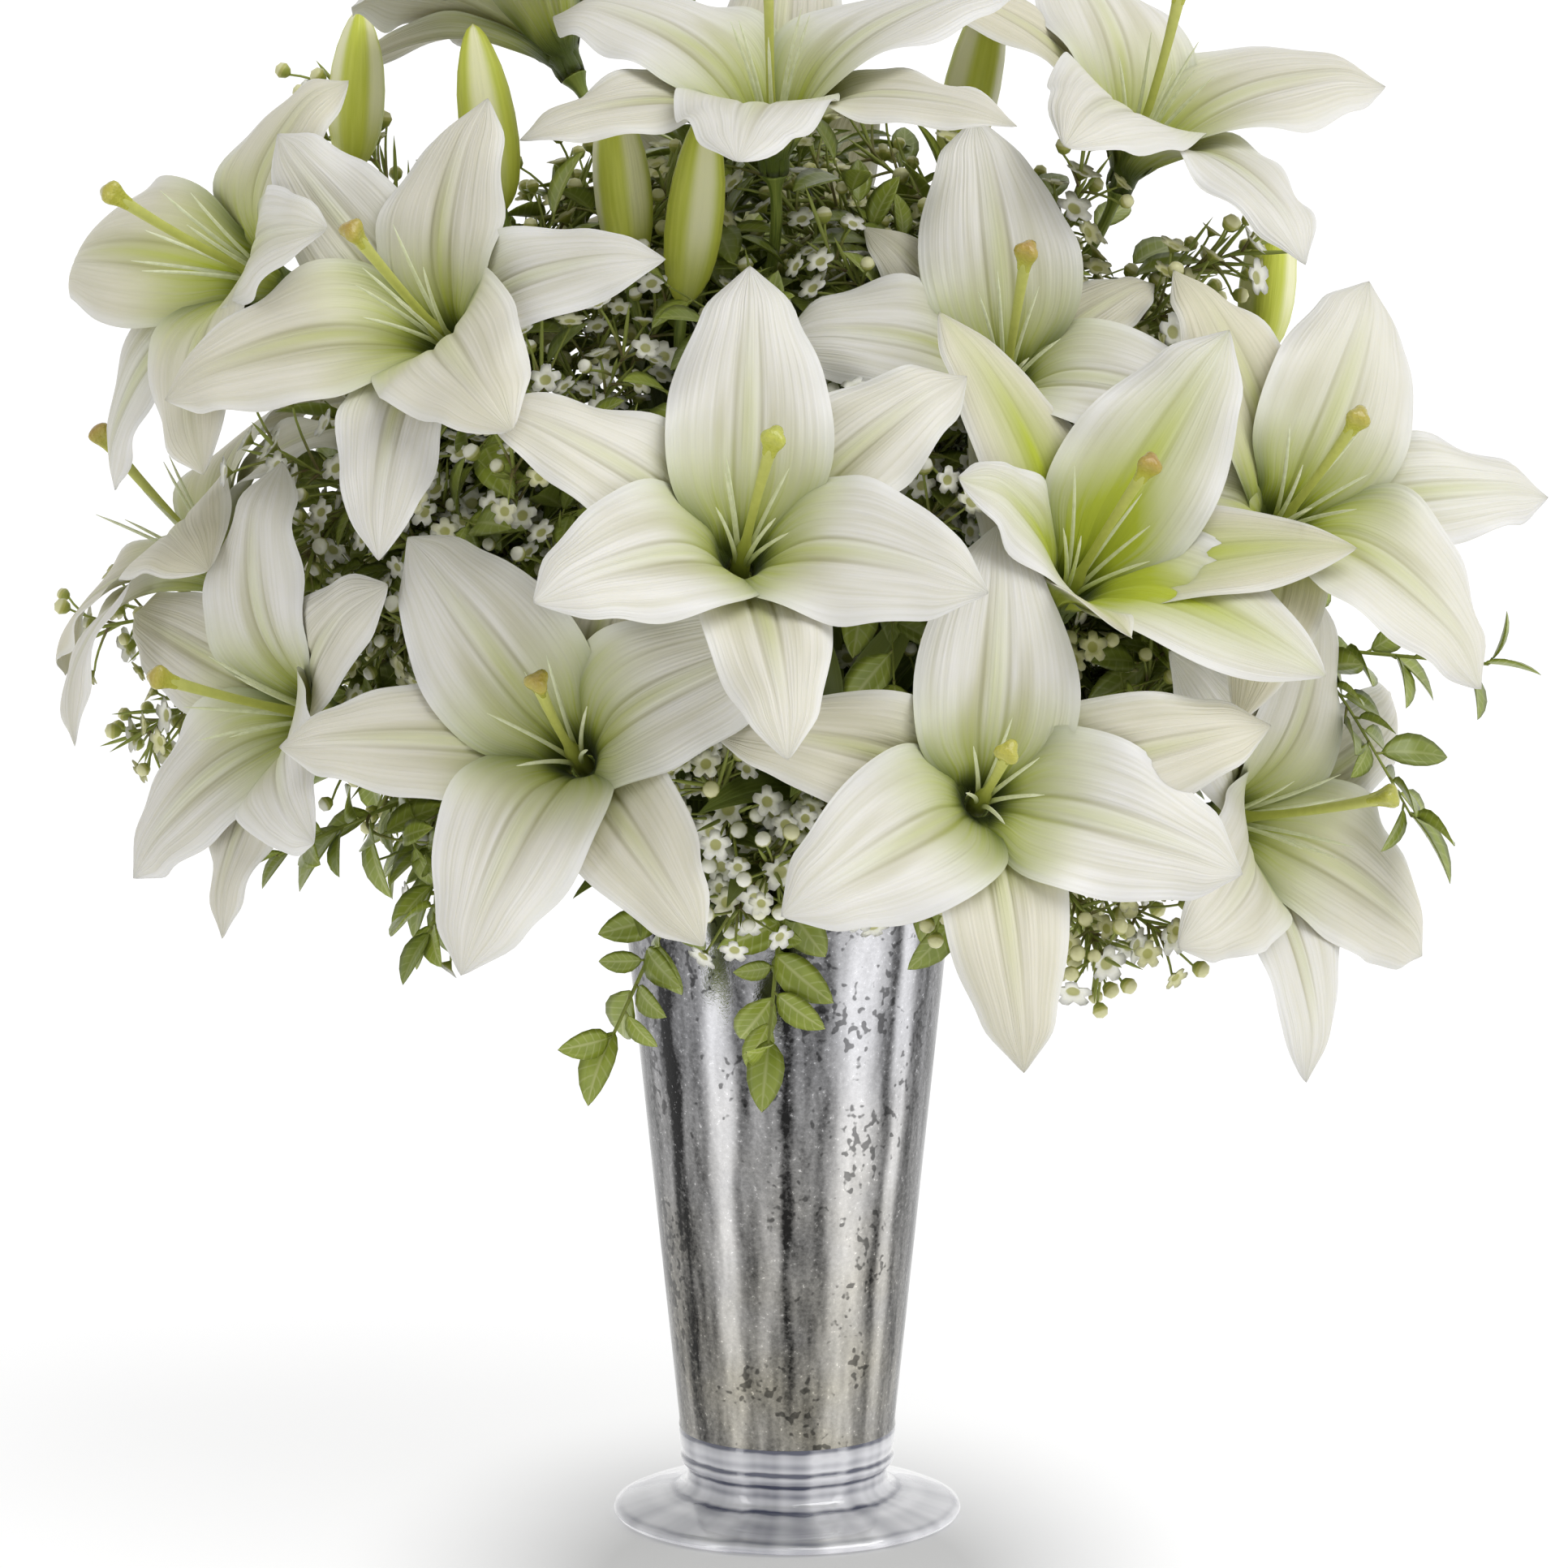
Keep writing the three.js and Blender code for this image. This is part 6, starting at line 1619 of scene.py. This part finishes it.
relief = add(tree, "ShaderNodeBump", {"Height": bark, "Strength": 0.5, "Distance": 0.0004})
tree.links.new(relief.outputs[0], shader.inputs["Normal"])

CELL = 12
taken = {}  # middles of florets and leaves set out so far, with the room each needs, by cells of 12 mm


def hold(point, reach):
    """Keeps the room round a point for what stands there."""
    cell = tuple(int(c // CELL) for c in point)
    taken.setdefault(cell, []).append((tuple(point), reach))


def claim(point, reach):
    """Takes the room round a point, if no sprig set out before has it."""
    cell = [int(c // CELL) for c in point]
    for x in range(cell[0] - 1, cell[0] + 2):
        for y in range(cell[1] - 1, cell[1] + 2):
            for z in range(cell[2] - 1, cell[2] + 2):
                for other, room in taken.get((x, y, z), ()):
                    if math.dist(point, other) < reach + room:
                        return False
    hold(point, reach)
    return True


for name in SPRAYS:
    if not name.startswith("waxflower"):
        continue
    _, foot, corners = built[name]
    seed = SPRAY_SEEDS[name]
    lines, florets, buds = [], [], []
    for i, (line, path, radius) in enumerate(bearing_lines(name)):
        whole = np.concatenate([np.linspace(foot, line[0], 8)[:-1], line]) if i == 0 else line
        lines.append(stalk(whole, [radius, radius / 2], seed + i))
        for k, share in enumerate(CLUSTER if path is not None else ()):
            root, tangent = on_path(path, share)
            own_seed, found = seed + 5 * i + k, []
            for turn in TURNS:
                spread = 10 if k == 0 else 50 + 12 * draw(own_seed)
                _, direction = leaning(tangent, GOLDEN_TURN * k + turn, spread)
                end = root + (6 if k == 0 else 15 + 4 * draw(own_seed + 0.5)) * direction
                facing = unit(direction + 0.5 * outwards(root))
                up, side = across(facing)
                tips = [end + FLORET_RADIUS * (math.cos(a) * up + math.sin(a) * side) + 1.2 * facing
                        for a in np.arange(5) * 2 * math.pi / 5]
                found.append((misfit(corners, tips), turn, end, facing))
            gap, _, end, facing = min(found, key=lambda one: one[0])
            if gap < SPRAY_FIT:
                hold(end, FLORET_RADIUS * 0.8)
                up, side = across(facing)
                florets.append(place_at(end, up, side, facing, 1.0, lot=draw(own_seed + 0.8)))
                base = end - 2.6 * facing
                for bow in (0, 5, -5, 9, -9):
                    start = curve_at(line, share)[0]
                    aside = bow * unit(np.cross(direction, facing))
                    stalk_points = bezier([start, mix(root, base, 0.6) + aside, base], 5)
                    if has_room(stalk_points[1:], 0.6):
                        lines.append(stalk(stalk_points, [0.6, 0.45], own_seed))
                        break
                else:
                    florets.pop()
        # More florets and buds on stalks of their own, closer together towards the tip.
        count = 30 if path is not None else 20
        for k in range(count):
            own_seed = 3000 + 10 * seed + 60 * i + k
            share = 1 - 0.62 * (k / count) ** 1.3
            root, tangent = curve_at(line, share)
            open_floret = draw(own_seed) > (0.25 if name in IN_BUD else -0.35)
            green = 1 if name in IN_BUD else draw(own_seed + 0.8)
            reach = FLORET_RADIUS * 0.62 if open_floret else 2.5
            for turn in TURNS:
                spread = 48 + 22 * draw(own_seed + 0.2)
                _, direction = leaning(tangent, GOLDEN_TURN * k + 40 + turn, spread)
                length = 17 + 9 * draw(own_seed + 0.4)
                end = root + length * direction
                facing = unit(direction + 0.6 * outwards(root) + 0.3 * draw(own_seed + 0.7) * tangent)
                if not has_room([end, end + 1.2 * facing], reach + 0.8):
                    continue
                if not has_room([mix(root, end, 0.1), mix(root, end, 0.8)], 0.6) or not claim(end, reach):
                    continue
                up, side = across(facing)
                size = (0.74 if open_floret else 1.0) * (1 + 0.14 * draw(own_seed + 0.6))
                places = florets if open_floret else buds
                places.append(place_at(end, up, side, facing, size, lot=green))
                base = end - 2.6 * size * facing
                stalk_points = bezier([root, mix(root, base, 0.6) + 0.1 * length * tangent, base], 5)
                lines.append(stalk(stalk_points, [0.55, 0.4], own_seed))
                break
        # Needle leaves, which taper to a point.
        count = 30 if path is not None else 12
        for k in range(count):
            own_seed = 6000 + 10 * seed + 60 * i + k
            share = 1 - 0.7 * k / count
            root, tangent = curve_at(line, share)
            _, direction = leaning(tangent, GOLDEN_TURN * k, 34 + 14 * draw(own_seed))
            end = root + (17 + 6 * draw(own_seed + 0.3)) * direction + 3 * tangent
            middle = mix(root, end, 0.5) + 1.5 * direction
            if has_room([mix(root, middle, 0.3), middle, end], 1.2):
                needle = stalk(bezier([root, middle, end], 5), [0.5, 0.75, 0.7, 0.05], own_seed)
                needle["share"] = needle["share"] * 0 + 1
                lines.append(needle)
    number = name[-2:]
    mesh = grown("twigs", lines_mesh("twigs", lines), stems_tree, Sides=5, Finish=twig_skin)
    piece("waxflower_twigs_" + number, mesh, [name])
    for kind, places, sprig in (("waxflower_florets_", florets, floret), ("waxflower_buds_", buds, wax_bud)):
        if places:
            mesh = grown(kind, lines_mesh(kind, places), sprigs_tree, Sprig=sprig, Finish=wax_petal)
            piece(kind + number, mesh, [name])
for sprig in (floret, wax_bud):
    bpy.data.objects.remove(sprig)

# ---- The huckleberry ----
# Thin twigs with small oval leaves in turn on both sides, leathery and glossy. Light is painted on the
# leaves: those over the rim and reaching out are a brighter yellow-green, those between the lilies darker.

HUCKLEBERRY_LEAF = (22, 13)
MAIN_LEAVES = (1, 0.9, 0.8, 0.7, 0.6, 0.48)
SIDE_LEAVES = (1, 0.75)
# The sprays that reach out have their leaves painted lighter than those between the lilies.
OUTSIDE = ("huckleberry_04", "huckleberry_05", "huckleberry_06")  # these reach out into the light
OVAL_DROOP = 0.25  # how far a leaf's tip bends down, to its length
OVAL_FOLD = 0.18
OVAL_SHARES = (0, 0.08, 0.24, 0.42, 0.62, 0.8, 0.93, 1)
OVAL_HALVES = (0.06, 0.42, 0.84, 0.99, 0.93, 0.66, 0.3, 0)


def oval_rows(lift):
    """A leaf's face: rows across it, a little folded and bent back, with its rims closed."""
    length, width = HUCKLEBERRY_LEAF[0], 0.92 * HUCKLEBERRY_LEAF[1]
    rows = []
    for share, half in zip(OVAL_SHARES, OVAL_HALVES):
        row = []
        for v in (-1, -0.5, 0, 0.5, 1):
            bend = OVAL_FOLD * abs(v) * half * width - OVAL_DROOP * share * share * length
            row.append((share * length, v * half * width / 2, bend + lift * (1 - v * v) * (0.3 + half)))
        rows.append(row)
    return rows


def oval_leaf():
    """A closed oval leaf, its tip and stalk end drawn to a point, with share and across for its veins."""
    points, faces, shares, sides = [], [], [], []
    upper, lower = [], []
    for lift, made in ((0.3, upper), (-0.3, lower)):
        for share, row in zip(OVAL_SHARES, oval_rows(lift)):
            made.append([])
            for v, p in zip((-1, -0.5, 0, 0.5, 1), row):
                made[-1].append(len(points))
                points.append(tuple(np.array(p) / 1000))
                shares.append(share)
                sides.append(v)
    for a, b in zip(upper, upper[1:]):
        faces += [(a[j], b[j], b[j + 1], a[j + 1]) for j in range(4)]
    for a, b in zip(lower, lower[1:]):
        faces += [(a[j + 1], b[j + 1], b[j], a[j]) for j in range(4)]
    faces += [(upper[0][j], upper[0][j + 1], lower[0][j + 1], lower[0][j]) for j in range(4)]
    mesh = bpy.data.meshes.new("oval_leaf")
    mesh.from_pydata(points, [], faces)
    for key, values in (("share", shares), ("across", sides)):
        mesh.attributes.new(key, "FLOAT", "POINT").data.foreach_set("value", values)
    shape = bmesh.new()
    shape.from_mesh(mesh)
    bmesh.ops.remove_doubles(shape, verts=shape.verts, dist=0.00001)
    bmesh.ops.recalc_face_normals(shape, faces=shape.faces)
    shape.to_mesh(mesh)
    shape.free()
    mesh.shade_smooth()
    made = bpy.data.objects.new("oval_leaf", mesh)
    bpy.context.scene.collection.objects.link(made)
    return made


# Leathery and glossy, with a paler midrib and side veins 3 mm apart that lean to the tip.
oval_skin, tree, shader = finish(
    "huckleberry_leaf", Roughness=0.36, IOR=1.45, Coat_Weight=0.2, Coat_Roughness=0.25
)
share, side, young = (
    add(tree, "ShaderNodeAttribute", attribute_name=key).outputs["Fac"]
    for key in ("share", "across", "young")
)
flank = add(tree, "ShaderNodeMath", [side], operation="ABSOLUTE")
slope = add(tree, "ShaderNodeMath", [flank, -0.18, share], operation="MULTIPLY_ADD")
wave = add(tree, "ShaderNodeMath", [slope, 44.0], operation="MULTIPLY")  # 7 pairs of veins
wave = add(tree, "ShaderNodeMath", [wave], operation="SINE")
veins = add(tree, "ShaderNodeMapRange", [wave, 0.7, 1.0, 0.0, 0.45])
midrib = add(tree, "ShaderNodeMapRange", [flank, 0.14, 0.02, 0.0, 0.8])
veins = add(tree, "ShaderNodeMath", [veins, midrib], operation="MAXIMUM")
place = add(tree, "ShaderNodeTexCoord").outputs["Object"]
mottle = add(tree, "ShaderNodeTexNoise", {"Vector": place, "Scale": 160.0, "Detail": 2.0})
# Painted light: the more lit a leaf is set, the brighter and yellower its green and its veins.
shaded_leaf_tone = add(tree, "ShaderNodeMixRGB", [mottle, linear("#586629"), linear("#84913c")])
lit_leaf_tone = add(tree, "ShaderNodeMixRGB", [mottle, linear("#83942c"), linear("#afbc46")])
tone = add(tree, "ShaderNodeMixRGB", [young, shaded_leaf_tone, lit_leaf_tone])
vein_tone = add(tree, "ShaderNodeMixRGB", [young, linear("#8a9456"), linear("#ccd08a")])
tone = add(tree, "ShaderNodeMixRGB", [veins, tone, vein_tone])
tree.links.new(tone.outputs[0], shader.inputs["Base Color"])
relief = add(tree, "ShaderNodeBump", {"Height": veins, "Strength": -0.5, "Distance": 0.0005})
tree.links.new(relief.outputs[0], shader.inputs["Normal"])


def leaf_outline(base, direction, sideways, normal, grown_by):
    """A leaf's midrib from its stalk to its tip, and then to and fro across it back down."""
    length, width = (grown_by * one for one in HUCKLEBERRY_LEAF)

    def at(s, v):
        droop = OVAL_DROOP * s * s * length * normal
        return base + s * length * direction - droop + 0.46 * v * width * sideways

    return [at(*one) for one in (
        (0.04, 0), (0.3, 0), (0.65, 0), (1, 0), (0.88, 0.5), (0.88, -0.5), (0.7, -0.9), (0.7, 0.9), (0.5, 1),
        (0.5, -1), (0.3, -0.9), (0.3, 0.9), (0.14, 0.5), (0.14, -0.5),
    )]


leaf_sprig = oval_leaf()
for name in SPRAYS:
    if not name.startswith("huckleberry"):
        continue
    _, foot, corners = built[name]
    seed = SPRAY_SEEDS[name]
    over_rim = int(name[-2:]) <= 3
    # How much painted light this spray's leaves get: most over the rim, less reaching out, least between the
    # lilies.
    painted_light = 0.6 if over_rim else 0.5 if name in OUTSIDE else 0.4
    lines, leaves = [], []
    for i, (line, path, radius) in enumerate(bearing_lines(name)):
        whole = np.concatenate([np.linspace(foot, line[0], 8)[:-1], line]) if i == 0 else line
        lines.append(stalk(whole, [radius, radius / 2], seed + i))
        wanted = []
        if path is not None:
            for k, share in enumerate(MAIN_LEAVES if i == 0 else SIDE_LEAVES):
                root, tangent = on_path(path, share)
                own_seed, found = seed + 5 * i + k, []
                grown_by = 1 + 0.2 * draw(own_seed + 0.5)
                spread = 8 if share == 1 else 55 + 10 * draw(own_seed)
                for turn in TURNS:
                    _, direction = leaning(tangent, GOLDEN_TURN * k + turn, spread)
                    sideways = unit(np.cross(direction, outwards(root)))
                    normal = np.cross(sideways, direction)
                    length, width = (grown_by * one for one in HUCKLEBERRY_LEAF)
                    probes = [root + length * direction - OVAL_DROOP * length * normal]
                    for v in (0.86, -0.86):
                        probes.append(
                            root + 0.68 * length * direction + v * width / 2 * sideways
                            + (OVAL_FOLD * abs(v) * width - OVAL_DROOP * 0.68**2 * length) * normal
                        )
                    found.append((misfit(corners, probes), turn, direction, sideways, normal))
                gap, _, direction, sideways, normal = min(found, key=lambda one: one[0])
                # It is a little smaller where the petals leave it less room than in the model.
                for shrunk in (1, 0.8, 0.6) if gap < SPRAY_FIT else ():
                    outline = leaf_outline(root, direction, sideways, normal, shrunk * grown_by)
                    if has_room(outline, 0.6):
                        start = curve_at(line, share)[0]
                        wanted.append((root, direction, sideways, normal, shrunk * grown_by, start, own_seed))
                        hold(mix(outline[1], outline[2], 0.5), 6)
                        break
        count = 10 if over_rim else 26 if path is not None else 13
        for k in range(count):
            own_seed = 9000 + 10 * seed + 40 * i + k
            share = 1 - (0.72 if path is not None else 0.85) * k / count
            root, tangent = curve_at(line, share)
            if math.hypot(root[0], root[1]) < RIM_RADIUS + 2 and root[2] < VASE_HEIGHT + 10:
                continue
            grown_by = (0.66 if over_rim else 0.86) + 0.22 * draw(own_seed + 0.5)
            length = grown_by * HUCKLEBERRY_LEAF[0]
            for turn in TURNS[:7]:
                spread = 12 if k == 0 and path is None else 52 + 14 * draw(own_seed)
                _, direction = leaning(tangent, GOLDEN_TURN * k + turn, spread)
                sideways = unit(np.cross(direction, outwards(root)))
                normal = np.cross(sideways, direction)
                base = root + 1.8 * direction
                outline = leaf_outline(base, direction, sideways, normal, grown_by)
                if not has_room(outline, 1):
                    continue
                if claim(outline[2] - 0.05 * length * direction, 4.2 * grown_by):
                    wanted.append((base, direction, sideways, normal, grown_by, root, own_seed))
                    break
        for base, direction, sideways, normal, grown_by, root, own_seed in wanted:
            # Each leaf gets its spray's painted light, give or take a little.
            leaves.append(
                place_at(base, direction, -sideways, normal, grown_by, lot=draw(own_seed + 0.8),
                         young=min(1.0, max(0.0, painted_light + 0.3 * draw(own_seed + 0.9))))
            )
            ends = np.array([root, mix(root, base, 0.5), base + 0.5 * direction])
            lines.append(stalk(ends, [0.55, 0.4], own_seed))
    number = name[-2:]
    mesh = grown("twigs", lines_mesh("twigs", lines), stems_tree, Sides=5, Finish=twig_skin)
    piece("huckleberry_twigs_" + number, mesh, [name])
    mesh = grown("leaves", lines_mesh("leaves", leaves), sprigs_tree, Sprig=leaf_sprig, Finish=oval_skin)
    piece("huckleberry_leaves_" + number, mesh, [name])
bpy.data.objects.remove(leaf_sprig)
